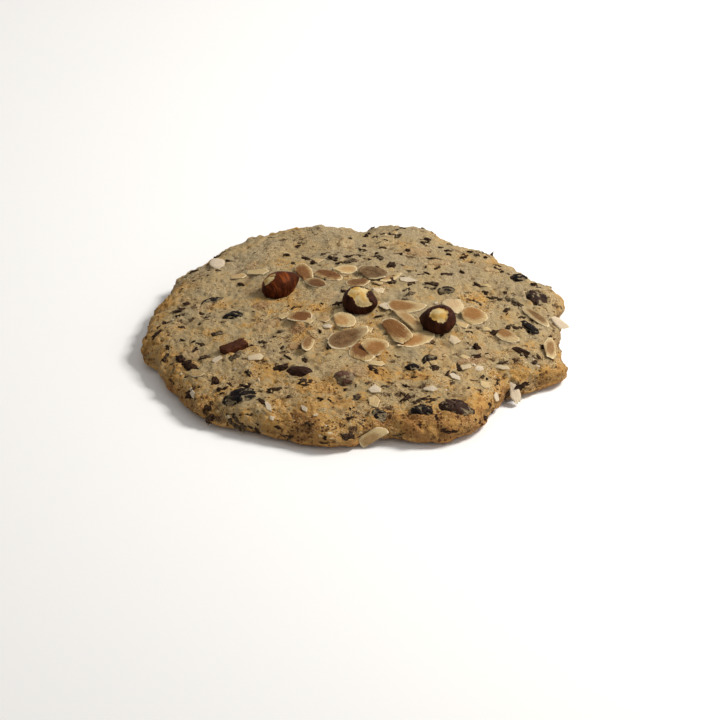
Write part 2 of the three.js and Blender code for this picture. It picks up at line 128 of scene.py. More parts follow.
def scattered(plan, size, seed):
    """For each plan point, the offset from the nearest of the points scattered one to
    a square of the given size, and two draws that belong to that point."""
    base = np.floor(plan / size).astype(np.int64)
    nearest = np.full(len(plan), np.inf)
    offset = np.zeros_like(plan)
    cell = np.zeros_like(base)
    for neighbour in np.ndindex(3, 3):
        other = base + np.array(neighbour) - 1
        middle = np.stack([hashed(other, seed), hashed(other, seed + 1)], axis=-1)
        away = plan - (other + 0.12 + 0.76 * middle) * size
        distance = np.hypot(away[:, 0], away[:, 1])
        closer = distance < nearest
        nearest = np.where(closer, distance, nearest)
        offset[closer] = away[closer]
        cell[closer] = other[closer]
    return offset, hashed(cell, seed + 2), hashed(cell, seed + 3)


def bell(distance, spread):
    """1 at no distance, falling off like a bell that is about one spread wide each way."""
    return np.exp(-((distance / spread) ** 2))


def ramp(value, low, high):
    """0 at low, 1 at high and a smooth step between. Low may be the larger of the two."""
    t = np.clip((value - low) / (high - low), 0, 1)
    return t * t * (3 - 2 * t)


def between(low, high, share):
    """The number that lies a share of the way from low to high."""
    return low + (high - low) * share


print("first draws", draw(np.arange(3), 1).round(3))

# %% [markdown]
# ## The plain form of the dough
# The rim is a closed curve through radii set every ten degrees. The section
# is a low dome that turns over a rounded shoulder to the waist and comes back
# to a flat foot. Lumps are bell-shaped bumps on a sunflower pattern, which
# spreads points evenly over a disc without lining them up.

# %% Outline, lumps and section
def rim_radius(angle):
    """A smooth closed curve through RIM_RADII, each stretch a cubic through four of
    them, plus the bell-shaped breaks."""
    steps = len(RIM_RADII)
    turns = angle / (2 * math.pi)
    place = (turns - np.floor(turns)) * steps
    index = np.floor(place).astype(int)
    t = place - index
    a, b, c, d = (RIM_RADII[(index + k) % steps] for k in (-1, 0, 1, 2))
    bend = 2 * a - 5 * b + 4 * c - d
    curl = 3 * b - 3 * c + d - a
    radius = b + 0.5 * t * (c - a + t * (bend + t * curl))
    for centre, depth, spread in RIM_BREAKS:
        away = (np.degrees(angle) - centre + 900) % 360 - 180
        radius = radius + depth * bell(away, spread)
    return radius


def rim_ruffle(angle, height):
    """Sine waves round the rim that slide sideways with height."""
    return sum(depth * np.sin(waves * angle + RUFFLE_LEAN * height * (k + 1) + RUFFLE_SPACING * k)
               for k, (waves, depth) in enumerate(RIM_RUFFLES))


LUMP = np.arange(120)
LUMP_REACH = 86 * np.sqrt((LUMP + 0.5) / len(LUMP))
LUMPS = np.stack([
    LUMP_REACH * np.cos(LUMP * GOLDEN_ANGLE) + 4 * (draw(LUMP, 1) * 2 - 1),
    LUMP_REACH * np.sin(LUMP * GOLDEN_ANGLE) + 4 * (draw(LUMP, 2) * 2 - 1),
    between(-0.5, 1.5, draw(LUMP, 3)),
    between(3.6, 7.5, draw(LUMP, 4)),
], axis=1)
LUMPS = np.concatenate([LUMPS, np.array(SWELLS, dtype=float)])


def relief(x, y):
    """The sum of all lumps, each a bell of its own height and width."""
    total = np.zeros(np.shape(x))
    for lump_x, lump_y, rise, spread in LUMPS:
        total = total + rise * bell(np.hypot(x - lump_x, y - lump_y), spread)
    return total


def top_height(x, y, share):
    """Dome plus lumps, turned down to the waist by a tight rounded corner."""
    dome = SHOULDER + (CROWN - SHOULDER) * (1 - share**2) ** DOME_POWER
    corner = np.sqrt(np.maximum(0, 1 - share**TOP_ROUNDING))
    return WAIST + (dome + relief(x, y) - WAIST) * corner


def surface(x, y):
    """Height of the top at a plan position."""
    share = np.hypot(x, y) / rim_radius(np.arctan2(y, x))
    return top_height(x, y, np.minimum(share, 1))


print("height at the middle", round(float(surface(0.0, 0.0)), 2), "mm")

# %% [markdown]
# ## How a piece lies on the dough
# Every topping is drawn round the origin and then laid on the dough. Its frame
# is three directions: up is how the dough faces there, averaged over the
# piece's own reach, along is its length, and across completes them.

# %% Laying a piece on the dough
def lay(x, y, turn, reach, lift, lean=None, pitch=0.0):
    """A point and three axes. Up comes from the slope of the dough, or from a lean of so
    many degrees towards an angle. Along points at the angle turn, made square to up and
    then pitched, and across completes them."""
    slope_x = (surface(x + reach, y) - surface(x - reach, y)) / (2 * reach)
    slope_y = (surface(x, y + reach) - surface(x, y - reach)) / (2 * reach)
    up = np.array([-slope_x, -slope_y, 1.0])
    if lean is not None:
        tip, way = np.radians(lean)
        up = np.array([math.sin(tip) * math.cos(way), math.sin(tip) * math.sin(way), math.cos(tip)])
    up = up / np.linalg.norm(up)
    along = np.array([math.cos(math.radians(turn)), math.sin(math.radians(turn)), 0.0])
    along = along - up * along.dot(up)
    along = along / np.linalg.norm(along)
    along = along * math.cos(math.radians(pitch)) + up * math.sin(math.radians(pitch))
    across = np.cross(up, along)
    across = across / np.linalg.norm(across)
    top = np.cross(along, across)
    centre = np.array([x, y, float(surface(x, y))]) + up * lift
    return centre + DRAWING_SHIFT, np.stack([along, across, top])


def place(local, centre, axes):
    """Local coordinates carried into the cookie's frame."""
    return centre + local @ axes


def unplace(points, centre, axes):
    """The cookie's frame carried back to a piece's local coordinates."""
    return (points - centre) @ axes.T


print("up at the rim", lay(80, 0, 0, 3, 0)[1][2].round(2))

# %% [markdown]
# ## Toppings and where they lie
# The lists name each almond slice, hazelnut and piece of fruit by its plan
# position, size and direction, in millimetres and degrees. Breaks are the
# straight edges of a slice, each the angle it faces and how far out it lies.
# Toast is how brown it is and veil how much thin grey batter covers it. Lean
# is for a slice that stands off the dough: its tilt and the way it tips.

# %% Lists of toppings
SLICES = [
    # x, y, length, width, turn, lift, toast, veil, breaks, lean
    (-21.5, 30, 18, 8.5, 93, 0.5, 0.75, 0.1, [(177, 0.76), (129, 0.45)], None),
    (-12, 28, 16.5, 8, 137, 0.5, 0.85, 0.15, [(2, 0.7), (151, 0.96)], None),
    (-16, 20, 12, 7, -55, 0.6, 0.9, 0, [(1, 0.71)], None),
    (-4.5, 33, 10, 9.5, 7, 0.4, 0.25, 0, [(142, 0.86)], None),
    (7, 26.5, 14.5, 12, -25, 0.7, 1, 0.45, [(11, 0.8), (-130, 0.7)], None),
    (13.5, 24, 12.5, 4, 39, 0.3, 0.3, 0.3, [(133, 0.48)], None),
    (1, 18.5, 11.5, 7, 37, 0.5, 0.85, 0, [(-154, 0.86), (66, 0.79)], None),
    (-22.5, -9, 11.5, 10.5, 87, 0.4, 0.85, 0.1, [(-1, 0.6)], None),
    (-4.5, -13.5, 12, 9.5, -66, 0.4, 0.3, 0.1, [(-109, 0.79)], None),
    (-3, -25.5, 20.5, 10.5, 42, 0.8, 0.8, 0.15, [(70, 0.75), (-73, 0.86)], (12, -70)),
    (7.5, -33, 11.5, 10, 22, 1.5, 0.5, 0, [(-169, 0.79), (-56, 0.87)], (16, -80)),
    (2.5, -36, 15.5, 10.5, 92, 0.4, 0.8, 0.05, [(-37, 0.68), (151, 0.79)], None),
    (17, -23.5, 22.5, 9.5, -59, 1.5, 0.7, 0, [(-116, 0.71), (8, 0.62)], (9, -130)),
    (23, -25.5, 20, 10.5, 36, 0.5, 0.45, 0, [(139, 0.56)], None),
    (20.5, -1, 16, 11, 5, 0.6, 0.5, 0.1, [(-121, 0.92), (138, 0.95)], None),
    (20.5, -12.5, 19.5, 6.5, -51, 0.5, 0.3, 0.05, [(137, 0.92), (-109, 0.59)], None),
    (-19, -29, 16.5, 4.5, 78, 1.1, 0.55, 0.15, [(-12, 0.57)], (14, 10)),
    (39, 1.5, 12, 8.5, -77, 0.5, 0.15, 0, [(-71, 0.75), (173, 0.81)], None),
    (47, -6, 11.5, 11, -16, 1.2, 0.5, 0, [(-149, 0.82), (-118, 0.81)], (14, -70)),
    (60, -16.5, 12, 8, -39, 0.6, 0.5, 0.2, [(73, 0.8), (-169, 0.67)], None),
    (72, 3, 16, 6.5, -48, 0.7, 0.55, 0.5, [(125, 0.45)], None),
    (76.5, -22.5, 14, 6.5, 87, 0.9, 0.4, 0.25, [(127, 0.83)], (40, -12)),
    (62, -45.5, 10, 5, 113, 1.2, 0.05, 0.2, [(69, 0.73)], (36, -62)),
    (7, -80, 12.5, 7, 45, 0.7, 0.25, 0.2, [(-84, 0.45), (108, 0.8)], (60, -84)),
    (-56.5, 46.5, 7, 7, 24, 0.9, 0, 0.35, [(-68, 0.81), (-21, 0.83)], (12, -60)),
    (81.5, 4, 8.5, 6, -20, 0.8, 0.05, 0.3, [(-133, 0.6)], (20, -40)),
]
# Slices, by number, that turned grey-brown rather than golden brown, and how much.
GREYED = {3: 0.35, 5: 1.0, 6: 0.4, 7: 0.35, 10: 0.75, 15: 0.3, 16: 0.3, 17: 0.5, 20: 0.4,
          21: 0.8, 22: 0.6, 24: 0.4}
# Smaller chips of almond, fused to the dough in the plain solid.
CHIPS = [
    # x, y, length, width, turn, toast
    (42, -13.5, 8, 6.5, 30, 0.45), (38.5, -24, 6, 6, 45, 0.1), (9.5, 12.5, 9, 7, 100, 0.1),
    (-48, 33, 8, 6, 14, 0.5), (-39, 34.5, 12, 6, -16, 0.3), (8.5, -43.5, 8, 4.5, 6, 0.25),
    (7, -60.5, 7, 6, 24, 0.0), (7, -67.5, 7.5, 5.5, 80, 0.4), (39, -50, 6.5, 4, -52, 0.0),
    (43.5, -42.5, 6.5, 3.5, 22, 0.1), (48.5, -42, 5.5, 4, 60, 0.0), (50.5, -52.5, 6, 4.5, 64, 0.25),
    (55, -54.5, 5.5, 4, -60, 0.0), (29, -61.5, 6, 3, -6, 0.0), (57.5, -39, 8, 3, -8, 0.1),
    (-55, -35.5, 6, 5, 58, 0.05), (-39, -37, 8, 6, 14, 0.1), (-64, -54, 8, 3, -74, 0.0),
    (-34, -69, 8, 3, -66, 0.0), (-20, -73, 5, 2.5, -70, 0.0), (-11, -16, 5, 4, 20, 0.0),
    (-12.5, -10.5, 7, 5, -10, 0.6), (21, 36, 8, 5, 12, 0.6),
]
HAZELNUTS = {
    # x, y, size, turn, rise, pitch
    "hazelnut_left": (-30.5, 15, (16.5, 12, 11), 34, 2.4, 8),
    "hazelnut_middle": (1.5, -2, (15, 13, 12), -28, 3, 8),
    "hazelnut_right": (33, -15, (15, 13.5, 11.5), 160, 2.8, -4),
}
FRUIT = {
    # x, y, size, turn, rise
    "raisin_front_left": (-45, -61.5, (14.5, 9.5, 7), 22, -1.6),
    "raisin_left": (-57.5, 11.5, (9.5, 5.5, 5), 8, -0.9),
    "raisin_left_inner": (-49, -4.5, (9, 5, 5), 12, -0.9),
    "raisin_back_right": (66.5, 34.5, (8.5, 10.5, 6.5), 20, -1.3),
    "raisin_right": (72.5, 16.5, (12, 11, 6.5), -30, -1.5),
    "raisin_right_rim": (69.5, -8, (11.5, 6, 5), -56, -0.6),
    "raisin_behind_nut": (36.5, 16, (8.5, 5, 5), 14, -0.7),
    "raisin_front": (25, -73, (10.5, 6, 5.5), 8, -0.9),
    "raisin_front_right": (39, -70, (13.5, 8, 7), -6, -1.3),
    "raisin_centre_left": (22.5, -45.5, (8, 5.5, 5), -22, -0.9),
    "raisin_centre_right": (29, -39, (7.5, 4.5, 4.5), 40, -0.7),
    "raisin_middle_front": (-4.5, -54, (9, 9, 6.5), 10, -0.5),
    "raisin_low_front": (9, -74, (8, 6, 5.5), 0, -1.3),
    "chocolate_chunk": (-22, -48.5, (12, 6.5, 5.5), -8, -0.3),
    "almond_piece": (-48, -28.5, (12, 6.5, 5), 30, -0.3),
}
print(len(SLICES), "slices,", len(CHIPS), "chips,", len(FRUIT), "pieces of fruit and nut")

# %% [markdown]
# ## From arrays to a Blender mesh
# All shapes here are worked out as arrays of points. A helper turns them into
# a mesh at the origin, gives it its material, and can carry a float for every
# point, which the material reads as an attribute. Faces have to point
# outwards, and the sign of the enclosed volume tells whether they do.

# %% Making a piece
def outward(points, faces):
    """Turns all faces round if the volume that they enclose comes out negative: the sum
    over triangles of a corner times the cross product of the other two."""
    a, b, c = (points[faces[:, k]] for k in (0, 1, 2))
    volume = np.einsum("ij,ij->", a - points.mean(axis=0), np.cross(b - a, c - a))
    return faces[:, ::-1] if volume < 0 else faces


def point_normals(points, faces):
    """For each point, the sum of the cross products of the triangles round it, made unit."""
    a, b, c = (points[faces[:, k]] for k in (0, 1, 2))
    cross = np.cross(b - a, c - a)
    total = np.stack([
        np.bincount(faces.ravel(), np.repeat(cross[:, axis], 3), len(points)) for axis in range(3)
    ], axis=1)
    return total / np.maximum(np.linalg.norm(total, axis=1, keepdims=True), 1e-12)


def make_piece(name, points, faces, material, slot, stands_for=(), smooth=True, uv=None, **marks):
    """A mesh object at the origin from points in millimetres and triangles."""
    mesh = bpy.data.meshes.new(name)
    mesh.from_pydata((points * MM).astype(np.float32), [], outward(points, faces).astype(np.int32))
    mesh.polygons.foreach_set("use_smooth", np.full(len(mesh.polygons), smooth))
    for mark, values in marks.items():
        attribute = mesh.attributes.new(mark, "FLOAT", "POINT")
        attribute.data.foreach_set("value", np.broadcast_to(values, len(points)).astype(np.float32))
    if uv is not None:
        corner = np.empty(len(mesh.loops), dtype=np.int32)
        mesh.loops.foreach_get("vertex_index", corner)
        mesh.uv_layers.new(name="across").data.foreach_set("uv", uv[corner].astype(np.float32).ravel())
    mesh.update()
    mesh.materials.append(material)
    piece = bpy.data.objects.new(name, mesh)
    bpy.context.scene.collection.objects.link(piece)
    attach(piece, "root")
    if stands_for:
        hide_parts(*stands_for)
    print(f"{name}: {len(points)} points, {len(faces)} triangles")

# %% [markdown]
# ## Wiring materials
# A procedural material is a chain of small nodes. Wiring them by hand is slow
# to read, so short helpers do it: one adds any node with its inputs by name,
# and the others are the steps that come up all the time, such as arithmetic,
# noise, a smooth step and a mix of two colours.

# %% Adding nodes
def connect(tree, node, inputs):
    """Links the inputs that are given as sockets, sets the others, returns the outputs."""
    for socket, value in inputs.items():
        if isinstance(value, bpy.types.NodeSocket):
            tree.links.new(value, node.inputs[socket])
        else:
            node.inputs[socket].default_value = value
    return node.outputs


def wire(tree, kind, inputs=None, out=0, **settings):
    """Adds a node with its properties and inputs and returns one of its outputs."""
    node = tree.nodes.new(kind)
    for setting, value in settings.items():
        setattr(node, setting, value)
    return connect(tree, node, inputs or {})[out]


def mark(tree, name):
    """The value of a piece's own float attribute."""
    return wire(tree, "ShaderNodeAttribute", attribute_name=name, out="Fac")


print("node helpers: connect, wire and mark")

# %% Arithmetic, steps and mixes
def arithmetic(tree, operation, first, second, clamp=False):
    """One Math node."""
    return wire(tree, "ShaderNodeMath", {0: first, 1: second}, operation=operation, use_clamp=clamp)


def times(tree, first, second):
    """First times second."""
    return arithmetic(tree, "MULTIPLY", first, second)


def plus(tree, first, second, clamp=False):
    """First plus second, kept from 0 to 1 if clamped."""
    return arithmetic(tree, "ADD", first, second, clamp)


def minus(tree, first, second):
    """First minus second."""
    return arithmetic(tree, "SUBTRACT", first, second)


def larger(tree, first, second):
    """The larger of the two."""
    return arithmetic(tree, "MAXIMUM", first, second)


def swing(tree, value, amount):
    """A value from 0 to 1 made to swing round zero by half the amount each way."""
    return times(tree, minus(tree, value, 0.5), amount)


def step(tree, value, low, high, bottom=0.0, top=1.0):
    """A smooth step of value from low to high, rescaled to bottom and top."""
    ends = {"Value": value, "From Min": low, "From Max": high, "To Min": bottom, "To Max": top}
    return wire(tree, "ShaderNodeMapRange", ends, interpolation_type="SMOOTHSTEP")


def blend(tree, factor, under, over):
    """Mixes two colours, given as sockets or as red, green and blue."""
    colours = [c if isinstance(c, bpy.types.NodeSocket) else (*c, 1.0) for c in (under, over)]
    return wire(tree, "ShaderNodeMix", {0: factor, 6: colours[0], 7: colours[1]}, out=2,
                data_type="RGBA")


print("arithmetic helpers: times, plus, minus, larger, swing, step and blend")

# %% Noise and vectors
def cloud(tree, place, scale, detail=2.0, roughness=0.5, distortion=0.0, out=0):
    """Smooth noise: detail counts its finer layers and roughness keeps them strong."""
    inputs = {"Vector": place, "Scale": scale, "Detail": detail, "Roughness": roughness}
    return wire(tree, "ShaderNodeTexNoise", {**inputs, "Distortion": distortion}, out)


def cell_noise(tree, place, scale):
    """The distance to the nearest of many scattered points, and two draws of that point."""
    cells = connect(tree, tree.nodes.new("ShaderNodeTexVoronoi"), {"Vector": place, "Scale": scale})
    draws = connect(tree, tree.nodes.new("ShaderNodeSeparateColor"), {0: cells["Color"]})
    return cells["Distance"], draws["Red"], draws["Green"]


def vectors(tree, operation, first, second):
    """Two vectors combined part by part."""
    return wire(tree, "ShaderNodeVectorMath", {0: first, 1: second}, operation=operation)


def shaken(tree, place, shift, amount):
    """A place moved by a vector times an amount, which bends whatever is drawn there."""
    return vectors(tree, "ADD", place, vectors(tree, "MULTIPLY", shift, (amount,) * 3))


print("noise helpers: cloud, cell_noise, vectors and shaken")

# %% Groups and materials
SOCKETS = {"vector": "NodeSocketVector", "value": "NodeSocketFloat", "colour": "NodeSocketColor"}


def new_group(name, inputs, outputs):
    """An empty shader node group with named sockets, and its input and output nodes."""
    tree = bpy.data.node_groups.new(name, "ShaderNodeTree")
    for label, (kind, start) in inputs.items():
        socket = tree.interface.new_socket(label, in_out="INPUT", socket_type=SOCKETS[kind])
        if start is not None:
            socket.default_value = start
    for label, kind in outputs.items():
        tree.interface.new_socket(label, in_out="OUTPUT", socket_type=SOCKETS[kind])
    return tree, tree.nodes.new("NodeGroupInput").outputs, tree.nodes.new("NodeGroupOutput").inputs


def place_group(tree, group, inputs):
    """Puts a node group into a tree and returns its outputs by name."""
    node = tree.nodes.new("ShaderNodeGroup")
    node.node_tree = group
    return connect(tree, node, inputs)


def new_material(name):
    """A material with an empty tree, that tree, and the place of each point on its piece."""
    material = bpy.data.materials.new(name)
    material.use_nodes = True
    tree = material.node_tree
    tree.nodes.clear()
    return material, tree, wire(tree, "ShaderNodeTexCoord", out="Object")


def close_material(tree, colour, roughness, height, relief_mm, specular=0.5):
    """Ends a material: a Bump node with its height in millimetres feeds the shader."""
    bump = wire(tree, "ShaderNodeBump", {"Height": height, "Distance": relief_mm * MM, "Strength": 1.0})
    inputs = {"Base Color": colour, "Roughness": roughness, "Normal": bump}
    shader = wire(tree, "ShaderNodeBsdfPrincipled", {**inputs, "Specular IOR Level": specular})
    tree.links.new(shader, tree.nodes.new("ShaderNodeOutputMaterial").inputs["Surface"])


print("a group can have sockets of these kinds:", *SOCKETS)

# %% [markdown]
# ## Effects that several finishes share
# Baked batter is grainy and full of tiny burst bubbles. Pictures of it would
# blur up close and repeat, so nodes draw it: noise for the grain, and cells
# that are cut round their points for the pores. Such an effect is a node group,
# so that every material can use it at its own scale and strength.

# %% Crumb grain and pores
GRAIN, given, result = new_group(
    "crumb grain", {"Vector": ("vector", None), "Pores": ("value", 0.5)},
    {"Height": "value", "Pore": "value", "Speckle": "value"})
lumps = cloud(GRAIN, given["Vector"], 330.0, 5.0, 0.56)
fine = cloud(GRAIN, given["Vector"], 1900.0, 1.0, 0.6)
wander = cloud(GRAIN, given["Vector"], 800.0, out="Color")
pushed = shaken(GRAIN, given["Vector"], wander, 0.0016)
pore = 0.0
for scale, widest in ((420.0, 0.36), (760.0, 0.46)):
    distance, lot, _ = cell_noise(GRAIN, pushed, scale)
    lot = plus(GRAIN, lot, times(GRAIN, given["Pores"], 0.55))
    inside = minus(GRAIN, step(GRAIN, lot, 0.8, 1.35, 0.0, widest), distance)
    pore = larger(GRAIN, pore, step(GRAIN, inside, 0.0, 0.12))
height = plus(GRAIN, times(GRAIN, lumps, 1.5), times(GRAIN, fine, 0.3))
GRAIN.links.new(minus(GRAIN, height, times(GRAIN, pore, 0.9)), result["Height"])
GRAIN.links.new(pore, result["Pore"])
GRAIN.links.new(fine, result["Speckle"])
print("crumb grain group has", len(GRAIN.nodes), "nodes")

# %% [markdown]
# Chopped fruit lies just under the batter's skin and shows as small dark
# dashes with a soft halo. There are too many to model, so cells draw them. Each
# layer of cells is squeezed and turned another way, and strong noise frays the
# edges. A larger amount lets more of the cells through.

# %% Dark dashes of chopped fruit
DASHES, given, result = new_group(
    "dark dashes", {"Vector": ("vector", None), "Amount": ("value", 0.5)},
    {"Mask": "value", "Halo": "value", "Tone": "value"})
strong = cloud(DASHES, given["Vector"], 560.0, 5.0, 0.72, out="Color")
frayed = shaken(DASHES, given["Vector"], strong, 0.0055)
mask, halo, tone = 0.0, 0.0, 0.0
for turn, scale, widest in ((0.3, 140.0, 0.36), (1.5, 205.0, 0.36), (2.6, 300.0, 0.34)):
    turned = wire(DASHES, "ShaderNodeMapping",
                  {"Vector": frayed, "Rotation": (0.0, 0.0, turn), "Scale": (1.0, 1.65, 1.4)})
    distance, lot, tint = cell_noise(DASHES, turned, scale)
    lot = plus(DASHES, lot, times(DASHES, given["Amount"], 0.6))
    inside = minus(DASHES, step(DASHES, lot, 0.95, 1.55, 0.0, widest), distance)
    mask = larger(DASHES, mask, step(DASHES, inside, 0.0, 0.05))
    halo = larger(DASHES, halo, step(DASHES, inside, -0.1, 0.04))
    tone = larger(DASHES, tone, tint)
DASHES.links.new(mask, result["Mask"])
DASHES.links.new(times(DASHES, halo, step(DASHES, given["Amount"], 0.0, 0.3)), result["Halo"])
DASHES.links.new(tone, result["Tone"])
print("dark dashes group has", len(DASHES.nodes), "nodes")

# %% [markdown]
# A thin film of batter dries on the fruit and on some slices, in grey-beige
# patches. It could be a mesh of its own, but it is thinner than paper, so noise
# cut at a level draws it, and the cover moves that level.

# %% Batter film
FILM, given, result = new_group(
    "batter film", {"Vector": ("vector", None), "Cover": ("value", 0.5), "Scale": ("value", 500.0)},
    {"Mask": "value", "Colour": "colour"})
patchy = cloud(FILM, given["Vector"], given["Scale"], 5.0, 0.7)
covered = plus(FILM, patchy, minus(FILM, given["Cover"], 0.5))
shaded = cloud(FILM, given["Vector"], 260.0)
FILM.links.new(step(FILM, covered, 0.46, 0.62), result["Mask"])
FILM.links.new(blend(FILM, step(FILM, shaded, 0.35, 0.65), (0.2, 0.15, 0.088), (0.37, 0.285, 0.165)),
               result["Colour"])
print("batter film group has", len(FILM.nodes), "nodes")


def filmed(tree, spot, under, cover, scale, share):
    """A colour with a share of batter film over it, and where the film is."""
    film = place_group(tree, FILM, {"Vector": spot, "Cover": cover, "Scale": scale})
    return blend(tree, times(tree, film["Mask"], share), under, film["Colour"]), film["Mask"]

# %% [markdown]
# Nuts and almonds are fibrous. Noise on a stretched map gives lines that run
# one way and still break up, which straight stripes would not.

# %% Grain lines of nuts and almonds
LINES, given, result = new_group(
    "grain lines", {"Vector": ("vector", None), "Scale": ("value", 1.0), "Stretch": ("vector", (1, 1, 1))},
    {"Lines": "value"})
drawn_out = vectors(LINES, "MULTIPLY", given["Vector"], given["Stretch"])
fibre = cloud(LINES, drawn_out, given["Scale"], 4.0, 0.6)
LINES.links.new(step(LINES, fibre, 0.3, 0.7), result["Lines"])
print("grain lines group has", len(LINES.nodes), "nodes")


def grain_lines(tree, scale, stretch):
    """Grain lines on the piece's own map, stretched by so much each way."""
    along = wire(tree, "ShaderNodeTexCoord", out="UV")
    return place_group(tree, LINES, {"Vector": along, "Scale": scale, "Stretch": stretch})["Lines"]

# %% [markdown]
# ## The baked dough
# The surface is matt, from pale through golden to toasted where it stands
# high, near the rim or in patches. Slices under the skin show through it, the
# hollows between its crags and the pores are darkened with painted shade, and
# low on the rim a browner crust carries painted shade as well.
# Attributes on the mesh say where each of these is. They follow the form, which
# noise alone could not, and the groups above add the grain, pores and dashes.

# %% Dough material: browning
BAKED_DOUGH, tree, spot = new_material("baked dough")
blotch = cloud(tree, spot, 70.0, 5.0, 0.6)
freckle = cloud(tree, spot, 620.0, 3.0, 0.6)
warmth = plus(tree, mark(tree, "browning"), swing(tree, blotch, 1.8))
warmth = plus(tree, warmth, swing(tree, freckle, 1.1), clamp=True)
pale = blend(tree, step(tree, warmth, 0.0, 0.4), (0.33, 0.257, 0.149), (0.385, 0.279, 0.138))
golden = blend(tree, step(tree, warmth, 0.35, 0.75), pale, (0.465, 0.255, 0.07))
toasted = blend(tree, step(tree, warmth, 0.7, 1.05), golden, (0.3, 0.14, 0.042))
print("browning takes", len(tree.nodes), "nodes")

# %% Dough material: buried slices
ghost = mark(tree, "buried_slice")
ghost_tone = blend(tree, mark(tree, "buried_tone"), (0.45, 0.325, 0.165), (0.25, 0.12, 0.055))
buried = blend(tree, times(tree, ghost, 0.8), toasted, ghost_tone)
outlined = times(tree, times(tree, ghost, 3.2), minus(tree, 1.0, ghost))
buried = blend(tree, times(tree, outlined, step(tree, blotch, 0.4, 0.6)), buried, (0.22, 0.12, 0.045))
print("with buried slices", len(tree.nodes), "nodes")

# %% Dough material: grain and pores
under = mark(tree, "underside")
pores = plus(tree, times(tree, warmth, 0.8), times(tree, under, 0.3))
grain = place_group(tree, GRAIN, {"Vector": spot, "Pores": pores})
# Pores and the hollows between the crags are darkened: painted shade in these recesses.
pore_and_hollow_shade = larger(tree, times(tree, grain["Pore"], 0.85), times(tree, mark(tree, "hollow"), 0.5))
areas = cloud(tree, spot, 85.0)
grainy = step(tree, areas, 0.38, 0.6, 0.3, 1.0)
# Light and dark specks follow the fine noise that also raises the bump: painted highlight on its peaks and
# painted shade in its dips.
crumb_peak_highlight = times(tree, step(tree, grain["Speckle"], 0.54, 0.68, 0.0, 0.65), grainy)
crumb_dip_shade = times(tree, step(tree, grain["Speckle"], 0.46, 0.3, 0.0, 0.95), grainy)
with_crumb_highlight = blend(tree, crumb_peak_highlight, buried, (0.58, 0.475, 0.29))
shaded = blend(tree, crumb_dip_shade, with_crumb_highlight, (0.155, 0.06, 0.014))
with_pore_shade = blend(tree, pore_and_hollow_shade, shaded, (0.085, 0.03, 0.011))
print("with grain and pores", len(tree.nodes), "nodes")

# %% Dough material: dark dashes
patches = cloud(tree, spot, 42.0)
spread = times(tree, step(tree, patches, 0.36, 0.66), mark(tree, "scatter"))
dashes = place_group(tree, DASHES, {"Vector": spot, "Amount": spread})
fog = cloud(tree, spot, 1150.0, 3.0, 0.6)
hazy = blend(tree, times(tree, dashes["Halo"], 0.6), with_pore_shade, (0.175, 0.106, 0.052))
shown = times(tree, dashes["Mask"], step(tree, fog, 0.38, 0.5, 0.1, 1.0))
core_black = times(tree, step(tree, fog, 0.46, 0.58), step(tree, dashes["Tone"], 0.9, 0.6))
dark = blend(tree, core_black, (0.085, 0.043, 0.022), (0.007, 0.004, 0.002))
dashed = blend(tree, shown, hazy, dark)
print("with dark dashes", len(tree.nodes), "nodes")

# %% Dough material: underside, and browner crust with painted shade low on the rim
floor_brown = blend(tree, step(tree, blotch, 0.3, 0.7), (0.24, 0.115, 0.04), (0.36, 0.2, 0.075))
# The same mask darkens the pits of the underside: painted shade.
floor_brown = blend(tree, pore_and_hollow_shade, floor_brown, (0.13, 0.058, 0.02))
floor_brown = blend(tree, times(tree, shown, 0.75), floor_brown, dark)
# Low on the rim the dough is darker: partly a real browner crust, partly painted shade.
crusted = blend(tree, times(tree, mark(tree, "crust"), 0.7), dashed, (0.14, 0.074, 0.034))
colour = blend(tree, under, crusted, floor_brown)
height = plus(tree, grain["Height"], times(tree, dashes["Mask"], 0.2))
close_material(tree, colour, step(tree, blotch, 0.3, 0.7, 0.75, 0.9), height, 0.75, 0.06)
print("baked dough has", len(tree.nodes), "nodes")

# %% [markdown]
# ## Sliced almonds
# A baked slice keeps a pale rim round a core that turned golden or grey-brown
# a little off its middle, and a painted highlight runs along the very edge. The
# material follows the slice's own map, so the grain runs along each slice.
# Attributes tell how far out a point lies, how deep in the core, and how toasted,
# greyed or covered its slice is, so one material serves all slices, chips and crumbs.

# %% Almond slice material: rim and core
ALMOND, tree, spot = new_material("sliced almond")
along = wire(tree, "ShaderNodeTexCoord", out="UV")
toast, grey, seed = (mark(tree, name) for name in ("toast", "grey", "seed"))
shifted = vectors(tree, "ADD", along, wire(tree, "ShaderNodeCombineXYZ", {0: seed, 1: seed}))
uneven = cloud(tree, shifted, 4.2, 4.0, 0.6)
lines = place_group(tree, LINES, {"Vector": shifted, "Scale": 5.0, "Stretch": (0.3, 2.4, 1.0)})["Lines"]
middle = plus(tree, mark(tree, "core"), swing(tree, uneven, 0.8))
browned = times(tree, step(tree, middle, -0.04, 0.5), step(tree, toast, 0.0, 0.5, 0.25, 1.0))
rim_tone = blend(tree, toast, (0.6, 0.46, 0.24), (0.48, 0.32, 0.135))
rim_tone = blend(tree, grey, rim_tone, (0.48, 0.37, 0.2))
core_tone = blend(tree, step(tree, toast, 0.2, 0.95), (0.42, 0.205, 0.064), (0.14, 0.052, 0.016))
grey_tone = blend(tree, step(tree, uneven, 0.38, 0.62), (0.07, 0.043, 0.019), (0.18, 0.112, 0.052))
core_tone = blend(tree, grey, core_tone, grey_tone)
flesh = blend(tree, browned, rim_tone, core_tone)
between_lines = times(tree, minus(tree, 1.0, lines), times(tree, toast, 0.55))
lined = blend(tree, between_lines, flesh, (0.16, 0.075, 0.03))
whitened = blend(tree, step(tree, toast, 0.22, 0.0, 0.0, 0.75), lined, (0.58, 0.495, 0.4))
